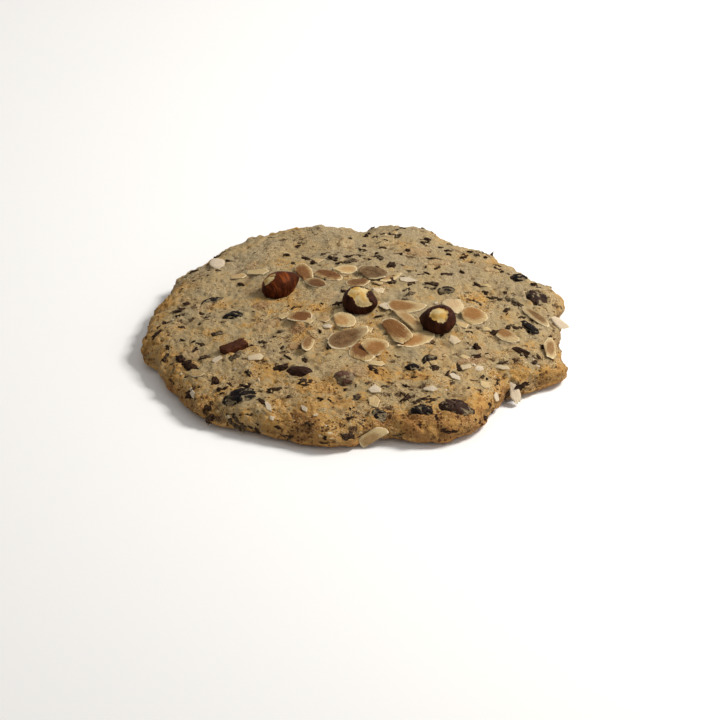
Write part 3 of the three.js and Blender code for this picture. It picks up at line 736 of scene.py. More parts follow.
# The bright line at the very edge is a painted highlight on the rounded rim.
rim_highlight = times(tree, step(tree, mark(tree, "out"), 0.88, 0.95), step(tree, uneven, 0.3, 0.45))
with_rim_highlight = blend(tree, times(tree, rim_highlight, 0.8), whitened, (0.74, 0.61, 0.39))
print("rim and core take", len(tree.nodes), "nodes")

# %% Almond slice material: flecks and film
grain = place_group(tree, GRAIN, {"Vector": spot, "Pores": -0.6})
flecked = blend(tree, step(tree, grain["Speckle"], 0.42, 0.3, 0.0, 0.35), with_rim_highlight, (0.13, 0.062, 0.024))
frosted = blend(tree, step(tree, grain["Speckle"], 0.62, 0.75, 0.0, 0.22), flecked, (0.72, 0.6, 0.4))
cover = times(tree, mark(tree, "veil"), 0.55)
colour, film = filmed(tree, spot, frosted, cover, 420.0, 0.75)
height = plus(tree, times(tree, lines, 0.35), times(tree, film, 0.6))
close_material(tree, colour, step(tree, lines, 0.0, 1.0, 0.62, 0.75), height, 0.3, 0.06)
print("sliced almond has", len(tree.nodes), "nodes")

# %% [markdown]
# ## Dried fruit
# Raisins are nearly black, with a faint shine where they are bare and dried
# batter in their folds, and a few are brown. The mesh says how high on a fold each point stands, so the film
# fills the folds and stays off the ridges, where it would have been wiped away.

# %% Dried fruit material
RAISIN, tree, spot = new_material("dried fruit")
mottle = cloud(tree, spot, 420.0, 4.0, 0.6)
black = blend(tree, step(tree, mottle, 0.35, 0.7), (0.003, 0.003, 0.003), (0.022, 0.012, 0.01))
ridge = blend(tree, step(tree, mottle, 0.58, 0.75, 0.0, 0.3), black, (0.11, 0.055, 0.035))
browned = times(tree, mark(tree, "brown"), step(tree, mottle, 0.3, 0.6, 0.4, 1.0))
ridge = blend(tree, browned, ridge, (0.125, 0.058, 0.038))
in_folds = times(tree, minus(tree, 0.6, mark(tree, "fold")), 0.75)
cover = plus(tree, mark(tree, "cover"), in_folds)
colour, film = filmed(tree, spot, ridge, cover, 950.0, 0.78)
wrinkle = cloud(tree, spot, 900.0, 4.0, 0.65, distortion=1.2)
height = plus(tree, wrinkle, times(tree, film, 0.5))
close_material(tree, colour, step(tree, film, 0.0, 1.0, 0.25, 0.75), height, 0.5, 0.06)
print("dried fruit has", len(tree.nodes), "nodes")

# %% [markdown]
# ## Hazelnut skin
# The skin is dark and papery where it holds, redder on some nuts, and shows
# cream flesh where it has rubbed off. The edge of that patch is a signed
# distance on the mesh. The material cuts it sharp, which painted colours on
# the points could not, with noise to make it ragged.

# %% Nut material
NUT, tree, spot = new_material("hazelnut")
ragged = cloud(tree, spot, 520.0, 4.0, 0.6)
bare = step(tree, plus(tree, mark(tree, "peel"), swing(tree, ragged, 0.22)), -0.01, 0.025)
ribs = grain_lines(tree, 4.0, (2.2, 0.8, 1.0))
dark_skin = blend(tree, ribs, (0.015, 0.005, 0.003), (0.062, 0.021, 0.012))
worn = cloud(tree, spot, 150.0, 3.0, 0.6)
deep_red = blend(tree, step(tree, worn, 0.4, 0.62), (0.028, 0.0065, 0.003), (0.08, 0.018, 0.006))
bright = times(tree, step(tree, ribs, 0.35, 1.0), step(tree, worn, 0.42, 0.6, 0.25, 1.0))
red_skin = blend(tree, bright, deep_red, (0.2, 0.048, 0.01))
skin = blend(tree, mark(tree, "redness"), dark_skin, red_skin)
dusty = blend(tree, step(tree, ragged, 0.62, 0.78, 0.0, 0.15), skin, (0.3, 0.15, 0.075))
blush = cloud(tree, spot, 240.0, 3.0)
cream = blend(tree, step(tree, blush, 0.44, 0.6), (0.6, 0.46, 0.225), (0.54, 0.32, 0.085))
cream = blend(tree, step(tree, ragged, 0.6, 0.68, 0.0, 0.7), cream, (0.3, 0.13, 0.035))
colour = blend(tree, bare, dusty, cream)
ribbed = times(tree, ribs, times(tree, minus(tree, 1.0, bare), 0.6))
height = plus(tree, ribbed, times(tree, ragged, 0.7))
height = minus(tree, height, times(tree, bare, 0.5))
close_material(tree, colour, step(tree, bare, 0.0, 1.0, 0.45, 0.7), height, 0.35, 0.03)
print("hazelnut has", len(tree.nodes), "nodes")

# %% [markdown]
# ## Chocolate, almond skin and chopped fruit
# These three are dark coats with fine lines and a little batter on them. They
# differ only in tone, gloss and scale, so one function makes all of them.

# %% Chocolate, almond skin and chopped fruit materials
def coated(name, low, high, roughness, line_scale, relief_mm, film_share=0.7):
    """A dark coat that mixes two tones by grain lines and takes a little batter film."""
    material, tree, spot = new_material(name)
    ribs = grain_lines(tree, line_scale, (0.8, 3.0, 1.0))
    mottle = cloud(tree, spot, 520.0, 4.0)
    coat = blend(tree, times(tree, ribs, step(tree, mottle, 0.3, 0.7, 0.4, 1.0)), low, high)
    cover = times(tree, mark(tree, "cover"), 0.56)
    colour, _ = filmed(tree, spot, coat, cover, 1000.0, film_share)
    height = plus(tree, times(tree, ribs, 0.5), times(tree, mottle, 0.4))
    matt = step(tree, mottle, 0.3, 0.7, roughness, roughness + 0.15)
    close_material(tree, colour, matt, height, relief_mm, 0.05)
    return material


CHOCOLATE = coated("chocolate", (0.016, 0.006, 0.004), (0.075, 0.033, 0.02), 0.3, 4.0, 0.3)
ALMOND_SKIN = coated("almond skin", (0.033, 0.0095, 0.004), (0.13, 0.042, 0.017), 0.5, 5.0, 0.4)
DARK_BIT = coated("chopped fruit", (0.006, 0.003, 0.002), (0.088, 0.044, 0.024), 0.7, 5.0, 0.4, 0.6)
print("finishes", [material.name for material in bpy.data.materials])

# %% [markdown]
# ## A square sheet folded over a ball
# The dough needs an even grid with no crowded pole. A square can be folded
# over an octahedron and blown up into a ball so that every cell keeps the same
# share of the area. The borders of the square then meet, and gluing them closes
# the skin. Rings round a middle would be simpler, but far too fine there.

# %% The folded grid
def folded_grid(cells):
    """Unit directions for a square grid folded over a ball. With u and v from -1 to 1, the
    distance from the middle diamond gives the height, and the share of the way round its
    ring gives the angle. Returns the glued points and the triangles."""
    column, row = np.meshgrid(np.arange(cells + 1), np.arange(cells + 1), indexing="ij")
    side_i, side_j = (column % cells) == 0, (row % cells) == 0
    glued_i = np.where(side_j, np.minimum(column, cells - column), column)
    glued_j = np.where(side_i, np.minimum(row, cells - row), row)
    key, index = np.unique(glued_i * (cells + 1) + glued_j, return_inverse=True)
    index = index.reshape(cells + 1, cells + 1)
    u = 2 * (key // (cells + 1)) / cells - 1
    v = 2 * (key % (cells + 1)) / cells - 1
    d = 1 - np.abs(u) - np.abs(v)
    r = 1 - np.abs(d)
    turn = math.pi / 4 * ((np.abs(v) - np.abs(u)) / np.maximum(r, 1e-9) + 1)
    flat = r * np.sqrt(2 - r * r)
    z = np.where(d >= 0, 1.0, -1.0) * (1 - r * r)
    directions = np.stack([flat * np.cos(turn) * np.where(u >= 0, 1, -1),
                           flat * np.sin(turn) * np.where(v >= 0, 1, -1), z], axis=1)
    a, b, c, e = index[:-1, :-1], index[1:, :-1], index[1:, 1:], index[:-1, 1:]
    falling = ((column[:-1, :-1] < cells / 2) == (row[:-1, :-1] < cells / 2))[..., None]
    first = np.where(falling, np.stack([a, b, e], -1), np.stack([a, b, c], -1))
    second = np.where(falling, np.stack([b, c, e], -1), np.stack([a, c, e], -1))
    return directions, np.concatenate([first.reshape(-1, 3), second.reshape(-1, 3)])


print("a grid of 4 cells folds into", len(folded_grid(4)[0]), "points")

# %% The plain dough on that grid
DOUGH_CELLS = 314  # along each side of the square
TOP_SHEET = 0.76  # share of the grid that becomes the top
CROWDING = 1.35  # above 1 crowds its rows towards the rim


def dough_skin(directions):
    """The plain dough for each direction: the share of the ball's area below it sets how
    far out the point lies, and the section gives its height."""
    angle = np.arctan2(directions[:, 1], directions[:, 0])
    down = (1 - directions[:, 2]) / 2
    on_top = down <= TOP_SHEET
    from_rim = np.where(on_top, 1 - down / TOP_SHEET, (down - TOP_SHEET) / (1 - TOP_SHEET))
    share = np.sqrt(np.maximum(0, 1 - np.clip(from_rim, 0, 1) ** CROWDING))
    radius = rim_radius(angle)
    x, y = share * radius * np.cos(angle), share * radius * np.sin(angle)
    foot = WAIST * (1 - np.sqrt(np.maximum(0, 1 - share**FOOT_ROUNDING)))
    z = np.where(on_top, top_height(x, y, share), np.where(share < FOOT, 0, foot))
    grow = 1 + rim_ruffle(angle, z) * share**8 / radius
    return np.stack([x * grow, y * grow, z], axis=1), share, on_top


directions, DOUGH_FACES = folded_grid(DOUGH_CELLS)
DOUGH, SHARE, ON_TOP = dough_skin(directions)
DOUGH = DOUGH + DRAWING_SHIFT
DOUGH_FACES = outward(DOUGH, DOUGH_FACES)
print("dough grid", len(DOUGH), "points,", round(float(ON_TOP.mean()), 2), "of them on top")

# %% [markdown]
# ## Where the slices lie
# A slice is drawn as a slightly bent oval plate. Where two overlap, the lower
# one dips under the upper one, so each slice is also a height over the plan
# that never comes nearer than one thickness to the slice on top of it.

# %% Slices as heights over the plan
THICK = 1.1
TAPER = 0.16  # how much narrower the +x end of a slice is
THINNING = 0.45  # share of its thickness that a slice loses at the rim
SLICE_GAP = 0.08  # air between two slices, one on the other
SLICE_FRAMES = [lay(x, y, turn, length / 3, lift, lean)
                for x, y, length, width, turn, lift, toast, veil, breaks, lean in SLICES]
SLICE_ORDER = sorted(range(len(SLICES)), key=lambda k: -SLICES[k][5])


def slice_bend(k, local_x, local_y):
    """Bend along the slice and twist across it, as fractions of its half sizes."""
    length, width = SLICES[k][2:4]
    u, v = 2 * local_x / length, 2 * local_y / width
    return between(-0.5, 0.9, draw(k, 11)) * u * u + between(-0.8, 0.8, draw(k, 12)) * u * v


def broken(breaks, u, v):
    """How far out a point of a disc with straight breaks lies, 1 at its rim: the largest of
    its distance from the middle and, for each break, how far along it lies over depth."""
    out = np.hypot(u, v)
    for facing, depth in breaks:
        way = math.radians(facing)
        out = np.maximum(out, (u * math.cos(way) + v * math.sin(way)) / depth)
    return out


def slice_over(k, plan):
    """The height of slice k's own plane over plan points, and how far out they lie in its
    outline, 1 at the rim: the local place that stands over a plan point solves two
    equations, with the bend taken from a first guess."""
    (centre, axes), (length, width), breaks = SLICE_FRAMES[k], SLICES[k][2:4], SLICES[k][8]
    flat = np.linalg.inv(axes[:2, :2])
    away = plan - centre[:2]
    local = away @ flat
    for _ in range(2):
        rise = slice_bend(k, *np.clip(local, -length, length).T)
        local = (away - rise[:, None] * axes[2, :2]) @ flat
    rise = slice_bend(k, *np.clip(local, -length, length).T)
    u = 2 * local[:, 0] / length
    v = 2 * local[:, 1] / (width * (1 - TAPER * np.clip(u, -1, 1)))
    return centre[2] + local @ axes[:2, 2] + rise * axes[2, 2], broken(breaks, u, v)


def slice_rest(k, plan):
    """Slice k's height over plan points once it dips under the slices on top of it."""
    height, out = slice_over(k, plan)
    size = min(SLICES[k][2:4]) / 2
    for j in SLICE_ORDER[:SLICE_ORDER.index(k)]:
        reach = (SLICES[j][2] + SLICES[k][2]) / 2 + 1
        if np.hypot(SLICES[j][0] - SLICES[k][0], SLICES[j][1] - SLICES[k][1]) > reach:
            continue
        upper, out_j = slice_rest(j, plan)
        room = upper - THICK - SLICE_GAP + 2.5 * np.maximum(0, out_j - 1) * size
        height = np.where(out_j < 1.6, np.minimum(height, room), height)
    return height, out


print("slices, top one first:", [k + 1 for k in SLICE_ORDER[:8]], "...")

# %% [markdown]
# ## The rough skin of the dough
# The grid is pushed along its normals by noise of two sizes, for the crags
# that rise as the batter dries and for the fine crumb, less pits where bubbles
# burst. A Displace modifier could do it, but arrays also tell the material
# where the crags and hollows are. The skin then creeps up a little round every
# piece of fruit, and the slices are pressed in, so it meets them from below.

# %% Roughening
DEEPEST, HIGHEST = -1.3, 0.85  # limits of the push in millimetres
normals = point_normals(DOUGH, DOUGH_FACES)
side = ramp(SHARE, 0.9, 1.0)
crag = rough(DOUGH, 8.0, 11, 3) * 0.8 + np.abs(rough(DOUGH, 4.2, 14, 3)) * 1.5 - 0.4
crumb = rough(DOUGH, 2.2, 17, 2) * 0.45
pits = 0.0
for size, seed in ((6.5, 31), (4.1, 41)):
    offset, chance, width = scattered(DOUGH[:, :2] + 0.6 * DOUGH[:, 2:], size, seed)
    pits = pits + ramp(chance, 0.35, 1.0) * bell(np.hypot(*offset.T), between(0.5, 1.0, width)) * 0.8
top_push = crag * between(0.75, 1.15, side) + crumb - pits
push = np.clip(np.where(ON_TOP, top_push, (crag + crumb) * side * 0.7), DEEPEST, HIGHEST)
DOUGH = DOUGH + normals * push[:, None]
stipple = np.clip(rough(DOUGH[:, :2], 3.0, 51, 3), 0, 1) * 1.1 + pits * 0.5
DOUGH[:, 2] = np.where(~ON_TOP & (SHARE < FOOT), stipple * ramp(SHARE, 0.9, 0.8), DOUGH[:, 2])
DOUGH[:, 2] = np.maximum(DOUGH[:, 2], 0.0)
print("pushed by", push.min().round(2), "to", push.max().round(2), "mm")

# %% Skin that creeps up round the fruit
for x, y, size, turn, rise in FRUIT.values():
    centre, axes = lay(x, y, turn, size[0] * 0.3, rise)
    local = unplace(DOUGH, centre, axes) / (np.array(size) / 2)
    collar = np.hypot(local[:, 0], local[:, 1])
    creep = np.clip(0.35 + 1.5 * noise(DOUGH, 2.6, 55), 0, 1.3)
    DOUGH += axes[2] * (creep * bell(collar - 0.95, 0.24) * ON_TOP)[:, None]
print("dough from", DOUGH.min(axis=0).round(2), "to", DOUGH.max(axis=0).round(2))

# %% Pressing the slices in
DOUGH_GAP = 0.12  # the skin's distance under the middle of a slice
STEEP = 18  # a slice that leans more degrees than this only cuts the skin off under it
MOST_RAISED = 0.8
pressed = np.zeros(len(DOUGH))
for k, row in enumerate(SLICES):
    length, lean = row[2], row[9]
    near = ON_TOP & (np.hypot(*(DOUGH[:, :2] - SLICE_FRAMES[k][0][:2]).T) < length)
    height, out = slice_rest(k, DOUGH[near, :2])
    z = DOUGH[near, 2]
    if lean is None or lean[0] < STEEP:
        hold = 1 - ramp(out, 0.93, 1.28)
        z = np.where(hold > 0, z + (np.minimum(height - DOUGH_GAP, z + MOST_RAISED) - z) * hold, z)
    else:
        z = np.where(out < 1, np.minimum(z, height - DOUGH_GAP), z)
    DOUGH[near, 2] = z
    pressed[near] = np.maximum(pressed[near], 1 - ramp(out, 0.9, 1.5))
print("slices press on", round(float(pressed.mean()), 3), "of the skin")

# %% [markdown]
# ## Slices buried under the film
# Many almonds went into the batter and lie just under its skin. They show as
# flat pale ovals with a soft edge. They aren't pieces of their own: the skin
# is lifted over them, and an attribute lets the material lighten them.

# %% Buried slices
BURIED = [
    # x, y, length, width, turn, how brown
    (-62, 8, 10, 6, 20, 0.1), (-30, 52, 12, 7, 10, 0.0), (-43, 43, 6, 9, 0, 0.3),
    (12, 62, 13, 8, 15, 0.0), (44, 62, 12, 8, -25, 0.1), (34, 44, 11, 6, 5, 0.3),
    (-66, -28, 10, 7, 50, 0.2), (-38, 3, 8, 6, 10, 0.7), (-36, -12, 12, 7, 30, 0.3),
    (-10, -46, 13, 8, 20, 0.0), (-28, -60, 12, 8, -20, 0.1), (18, -58, 12, 8, 40, 0.0),
    (52, -30, 11, 7, -40, 0.2), (58, 44, 12, 7, 30, 0.1), (-4, 60, 10, 7, 60, 0.0),
    (33, -33, 12, 7, 70, 0.2), (25, 54, 10, 9, 0, 0.35), (-12, 8, 11, 6, 35, 0.2),
    (42, -62, 10, 6, 10, 0.2), (-23, -18, 7, 8, 60, 0.85), (-24, -30, 5, 6, 0, 0.6),
    (-15, -22, 11, 8, 30, 0.0), (1, -49, 8, 8, 0, 0.4), (45, -37, 13, 5, 24, 0.75),
    (63, -25, 11, 6, -20, 0.0), (-42, 18, 10, 6, -30, 0.2), (8, 8, 9, 6, 30, 0.1),
    (-30, -36, 9, 6, 20, 0.0),
]
plan = DOUGH[:, :2] - DRAWING_SHIFT[:2]
ghost, ghost_brown = np.zeros(len(DOUGH)), np.zeros(len(DOUGH))
for x, y, length, width, turn, brown in BURIED:
    along = np.array([math.cos(math.radians(turn)), math.sin(math.radians(turn))])
    away = plan - (x, y)
    out = np.hypot(away @ along / (length / 2), away @ (-along[1], along[0]) / (width / 2))
    out = out + 0.12 * noise(plan, 1.6, 61) + 0.2 * noise(plan + 3.0 * turn, 4.0, 62)
    here = (1 - ramp(out, 0.8, 1.02)) * ON_TOP
    ghost_brown = np.where(here > ghost, brown, ghost_brown)
    ghost = np.maximum(ghost, here)
DOUGH[:, 2] += ghost * 0.4 * (1 - pressed)
print("buried slices", len(BURIED))

# %% [markdown]
# ## How brown the skin is
# An oven browns what stands high, lies near the rim or faces the hotter side,
# here the front, and it never does so evenly. Browning is a sum of such terms at
# every point, with a few broad patches listed. The material turns it into
# colour, so the look can be changed without touching the form.

# %% Browning and the finished skin
# Areas that browned more or less than the rest: plan position, how much, half width.
PATCHES = [(-18, -67, 0.3, 15), (58, -50, 0.05, 16), (74, -30, -0.1, 12), (-47, -68, -0.3, 16),
           (-72, -25, -0.25, 18), (38, 48, -0.2, 26), (-30, -53, -0.2, 14)]
patchiness = sum(amount * bell(np.hypot(plan[:, 0] - x, plan[:, 1] - y), spread)
                 for x, y, amount, spread in PATCHES)
browning = (0.16 + patchiness + 0.34 * ramp(-plan[:, 1], -60, 75)
            + 0.3 * rough(plan, 26, 71, 3) + 0.25 * rough(plan, 9, 75, 2)
            + 0.3 * ramp(SHARE, 0.84, 0.99) + 0.25 * np.clip(push, 0, 1)
            + 0.35 * ramp(5.0 - DOUGH[:, 2], 0, 4) - 0.15 * pressed)
# Two attributes here mark painted shade: one for the hollows between the crags, and one low on the rim,
# which also browns a real crust.
make_piece("dough_skin", DOUGH, DOUGH_FACES, BAKED_DOUGH, "dough", ("dough",),
           browning=np.clip(browning, 0, 1.3), underside=(~ON_TOP) * ramp(SHARE, 0.99, 0.93),
           buried_slice=ghost * (1 - pressed), buried_tone=ghost_brown,
           hollow=ramp(-push, 0.35, 0.95) * ON_TOP, crust=ramp(9.5 - DOUGH[:, 2], 0, 8) * ON_TOP,
           scatter=1 - 0.6 * bell(np.hypot(plan[:, 0] - 4, plan[:, 1]), 34))
DOUGH_NORMALS = point_normals(DOUGH, DOUGH_FACES)
print("browning is", browning.mean().round(2), "on average")

# %% [markdown]
# ## Building a slice
# Rings of one oval outline, shrunk towards the middle, make each face of a
# slice, and the two faces share the ring at the rim. The thickness follows a
# high power of the distance out, so the slice is flat with a rounded edge. An
# extruded outline would be quicker, but it could not bend or thin to the rim.

# %% Discs and balls from rings
def capped_rings(count, around):
    """Triangles for rings of points between two single points: point 0, then the rings one
    after the other, then the last point."""
    at = lambda ring, k: 1 + ring * around + k % around
    k = np.arange(around)
    fans = [np.stack([np.zeros(around, int), at(0, k), at(0, k + 1)], 1),
            np.stack([np.full(around, 1 + count * around), at(count - 1, k + 1), at(count - 1, k)], 1)]
    ring, k = (g.ravel() for g in np.meshgrid(np.arange(count - 1), k, indexing="ij"))
    walls = [np.stack([at(ring, k), at(ring + 1, k), at(ring + 1, k + 1)], 1),
             np.stack([at(ring, k), at(ring + 1, k + 1), at(ring, k + 1)], 1)]
    return np.concatenate(fans + walls)


def disc(rings, around):
    """Two faces of rings, crowded at the rim that they share. Returns each point's angle,
    how far out it lies, its face, 1 above, 0 at the rim and -1 below, and the triangles."""
    number = np.arange(1, 2 * rings)
    share = 1 - (1 - np.minimum(number, 2 * rings - number) / rings) ** 1.8
    angle = np.tile(np.linspace(0, 2 * math.pi, around, endpoint=False), len(number))
    out, face = (np.repeat(values, around) for values in (share, np.sign(rings - number)))
    capped = [np.concatenate([[first], values, [last]])
              for first, values, last in ((0, angle, 0), (0, out, 0), (1, face, -1))]
    return *capped, capped_rings(len(number), around)


print("a small disc has", len(disc(3, 8)[3]), "triangles")

# %% Sliced almonds
SLICE_RINGS, SLICE_AROUND = 17, 96


def almond_slice(k):
    """A disc with straight breaks and a chipped rim, stretched to an oval that is blunter
    at one end: x is the half length times u and y the half width times v times one less a
    little u. The brown core is a smaller disc off its middle."""
    length, width, turn, lift, toast, veil, breaks = SLICES[k][2:9]
    angle, out, face, faces = disc(SLICE_RINGS, SLICE_AROUND)
    way = np.stack([np.cos(angle), np.sin(angle)], 1)
    bite = 0.14 if 0 < toast < 0.1 else 0.07
    chipped = (np.clip(noise(way * 5 + k * 7.7, 1.0, 81), 0, 1) * bite
               + np.clip(noise(way * 14 + k, 1.0, 82), 0, 1) * 0.04)
    reach = (1 - chipped) / np.maximum(1, broken(breaks, *way.T))
    u, v = (out * reach * part for part in way.T)
    flat = np.stack([length / 2 * u, width / 2 * v * (1 - TAPER * u)], 1)
    half = 0.5 * THICK * (1 - THINNING * out**4) * np.sqrt(1 - np.minimum(out, 1) ** 12) * np.abs(face)
    sway = 0.14 * noise(flat + 31.0 * k, 3.4, 83) + 0.05 * noise(flat + 17.0 * k, 1.1, 84)
    centre, axes = SLICE_FRAMES[k]
    middle = place(np.column_stack([flat, slice_bend(k, *flat.T)]), centre, axes)
    dip = slice_over(k, middle[:, :2])[0] - slice_rest(k, middle[:, :2])[0]
    points = middle + axes[2] * (face * half + sway)[:, None]
    points[:, 2] -= dip
    off_u, off_v = between(-0.35, 0.3, draw(k, 14)), between(-0.25, 0.25, draw(k, 15))
    core = 1 - np.hypot(u - off_u, v - off_v) / between(0.65, 1.15, toast)
    make_piece(f"almond_slice_{k + 1:02d}", points, faces, ALMOND, "almond", (f"slice_{k + 1:02d}",),
               uv=flat / 10 + 0.5, out=np.hypot(u, v), core=core, toast=toast,
               grey=GREYED.get(k + 1, 0.0), veil=veil, seed=draw(k, 13) * 9)


for k in range(len(SLICES)):
    almond_slice(k)

# %% [markdown]
# ## Hazelnuts
# A whole nut is a ball with a slight point. Where its skin has rubbed off the
# surface drops by the thickness of the skin, so the edge of the patch catches
# the light, and the same signed distance tells the material where to stop.

# %% Balls, patches and the view
def ball(rows, around):
    """Unit directions on rings from the point at +x to the point at -x, and triangles."""
    tilt = math.pi * np.arange(1, rows) / rows
    turn = np.linspace(0, 2 * math.pi, around, endpoint=False)
    t, a = (g.ravel() for g in np.meshgrid(tilt, turn, indexing="ij"))
    rings = np.stack([np.cos(t), np.sin(t) * np.cos(a), np.sin(t) * np.sin(a)], 1)
    return np.concatenate([[[1, 0, 0]], rings, [[-1, 0, 0]]]), capped_rings(rows - 1, around)


def patch(directions, towards, size, wave, seed):
    """Signed distance into a patch, positive inside: how near a direction is to the
    patch's middle, less its size, with a wavy edge."""
    towards = np.array(towards, dtype=float)
    near = directions @ (towards / np.linalg.norm(towards))
    waves = wave * noise(directions, 0.75, seed) + 0.25 * wave * noise(directions, 0.25, seed + 1)
    return near - size + waves


ELEVATION = math.radians(29)  # of the camera above the table
VIEW = np.array([0.0, -math.cos(ELEVATION), math.sin(ELEVATION)])
UP_IN_VIEW = np.array([0.0, math.sin(ELEVATION), math.cos(ELEVATION)])
RIGHT = np.array([1.0, 0.0, 0.0])


def seen(right, up):
    """A direction on a nut as the camera sees it: towards the camera, right and up."""
    return VIEW + right * RIGHT + up * UP_IN_VIEW


print("the camera sees the cookie from", VIEW.round(2))

# %% Hazelnuts
def hazelnut(name, bare_at, kept_at, redness, ribs):
    """Ball stretched to the nut's size, narrower towards its +x end, where it is pointed,
    with shallow ribs across it when ribs is set. bare_at lists the patches that are
    rubbed bare, and kept_at those where skin is kept inside them, each a middle, size, wave and seed."""
    x, y, (length, width, height), turn, rise, pitch = HAZELNUTS[name]
    centre, axes = lay(x, y, turn, 5, rise, pitch=pitch)
    directions, faces = ball(84, 132)
    a, b, c = directions.T
    narrow = 1 - 0.12 * a - 0.08 * a * a
    tip = (1 + 0.1 * np.maximum(0, a) ** 6) / 1.05
    lumpy = 1 + 0.035 * rough(directions * 1.7 + turn, 1.0, 91, 2)
    if ribs:
        lumpy = lumpy + 0.011 * np.sin(9 * a + 3.5 * b + 4.5 * rough(directions, 0.8, 93, 2))
    local = np.stack([a * length * tip, b * width * narrow, c * height * narrow], 1) / 2 * lumpy[:, None]
    world = directions @ axes
    peel = np.full(len(directions), -1.0)
    for towards, size, wave, seed in bare_at:
        peel = np.maximum(peel, patch(world, towards, size, wave, seed))
    for towards, size, wave, seed in kept_at:
        peel = np.minimum(peel, -patch(world, towards, size, wave, seed))
    local -= directions * (ramp(peel, -0.03, 0.05) * 0.4)[:, None]
    uv = np.stack([a * 0.5, np.arctan2(b, c) / (2 * math.pi)], 1)
    make_piece(f"{name}_skin", place(local, centre, axes), faces, NUT, "nut_skin", (name,),
               uv=uv, peel=peel, redness=redness)


hazelnut("hazelnut_left", [(seen(-1.1, 0.8), 0.9, 0.09, 101)], [], 1.0, True)
hazelnut("hazelnut_middle", [(seen(0.1, 0.55), 0.64, 0.07, 103)],
         [(seen(-1.3, -0.4), 0.79, 0.06, 105), (seen(2.0, 0.75), 0.85, 0.04, 107)], 0.0, False)
hazelnut("hazelnut_right", [(seen(0.02, 0.55), 0.86, 0.05, 109), (seen(0.22, 0.2), 0.93, 0.04, 110)],
         [], 0.08, False)

# %% [markdown]
# ## Raisins, chocolate and a chunk of almond
# A raisin is a bag whose skin is too large for it. A sine round its axis gives
# the long folds of the plain solid, and creases where stretched noise crosses
# zero are the small ones, which branch as real ones do. Cloth simulation could
# crumple a ball too, but it gives another raisin on every change.

# %% Raisins
BROWN_FRUIT = {"raisin_middle_front": 1.0, "raisin_front_right": 0.35, "raisin_right": 0.25}


def wrinkled(name, index):
    """A flattened ball with one sine round its axis, less creases where stretched noise
    crosses zero, in two sizes."""
    x, y, size, turn, rise = FRUIT[name]
    half = np.array(size) / 2
    centre, axes = lay(x, y, turn, half[0] * 0.6, rise)
    directions, faces = ball(72, 112)
    a, b, c = directions.T
    fold = 1 + 0.07 * np.sin(4 * np.arctan2(b, c) + 2 * math.pi * draw(index, 21) + 2 * a)
    own = directions * half + 40.0 * index
    crease = 1 - np.abs(rough(own * (0.55, 1, 1), 1.9, 111, 2)) * 2.4
    small = 1 - np.abs(rough(own * (0.7, 1, 1), 0.95, 115, 2)) * 2.2
    depth = 0.17 * np.clip(crease, 0, 1) ** 2 + 0.06 * np.clip(small, 0, 1) ** 2
    swell = 1.06 + 0.1 * noise(own, 4.0, 119) - depth
    shape = np.stack([a * half[0], b * half[1] * fold, c * half[2] * fold], 1) * swell[:, None]
    cover = 0.42 + 0.3 * noise(own, 2.6, 117) - 0.2 * ramp(c, 0.5, 1.0) + 0.3 * draw(index, 22)
    make_piece(f"{name}_skin", place(shape, centre, axes), faces, RAISIN, "dried_fruit", (name,),
               fold=1 - np.clip(depth / 0.2, 0, 1), cover=np.clip(cover, 0, 1),
               brown=BROWN_FRUIT.get(name, 0.0))


print("brown raisins:", *BROWN_FRUIT)

# %% Chunks
def chunk(name, index, material, slot, squareness, cover):
    """A broken lump: a ball pushed towards a box by a power of its coordinates, with flat
    chipped faces from coarse noise."""
    x, y, size, turn, rise = FRUIT[name]
    half = np.array(size) / 2
    centre, axes = lay(x, y, turn, half[0] * 0.6, rise)
    directions, faces = ball(64, 96)
    powers = np.abs(directions) ** squareness
    boxed = directions / np.sum(powers, axis=1, keepdims=True) ** (1 / squareness)
    own = directions * half + index
    shape = boxed * half * (0.9 + 0.09 * rough(own, 2.6, 121, 2)[:, None])
    shape += directions * 0.13 * rough(own, 0.8, 125, 2)[:, None]
    make_piece(f"{name}_piece", place(shape, centre, axes), faces, material, slot, (name,),
               uv=directions[:, :2] * half[:2] / 10, cover=cover)


for index, name in enumerate(FRUIT):
    if name == "chocolate_chunk":
        chunk(name, index, CHOCOLATE, "chocolate", 2.1, 0.35)
    elif name == "almond_piece":
        chunk(name, index, ALMOND_SKIN, "almond", 9.0, 0.25)
    else:
        wrinkled(name, index)

# %% [markdown]
# ## Small pieces seated on the skin
# Chopped fruit, almond splinters and crumbs number in the hundreds. Each kind
# is one joined mesh: a template shape is copied by array arithmetic to chosen
# points of the dough, turned to face along the skin there, and made uneven by
# noise that differs from copy to copy.

# %% Seats on the dough
TOP_POINTS = np.flatnonzero(ON_TOP)


def nearest_seats(places):
    """The point of the top skin nearest to each plan place."""
    far = np.stack([np.hypot(*(DOUGH[TOP_POINTS, :2] - (spot + DRAWING_SHIFT[:2])).T)
                    for spot in places])
    return TOP_POINTS[far.argmin(axis=1)]


def chance_seats(count, seed, weight):
    """Points of the top skin drawn by a weight, with as many draws as seats."""
    total = np.cumsum(weight[TOP_POINTS])
    return TOP_POINTS[np.searchsorted(total, draw(np.arange(count), seed) * total[-1])]


def seat_axes(seats, turn):
    """Along, across and up for each seat: up is the skin's normal, along the turn."""
    up = DOUGH_NORMALS[seats]
    along = np.stack([np.cos(turn), np.sin(turn), np.zeros(len(seats))], 1)
    along = along - up * np.sum(along * up, axis=1, keepdims=True)
    along /= np.linalg.norm(along, axis=1, keepdims=True)
    return np.stack([along, np.cross(up, along), up], axis=1)


def copied(faces, count, size):
    """The triangles of one shape with size points, repeated for so many copies."""
    return (faces[None] + (np.arange(count) * size)[:, None, None]).reshape(-1, 3)


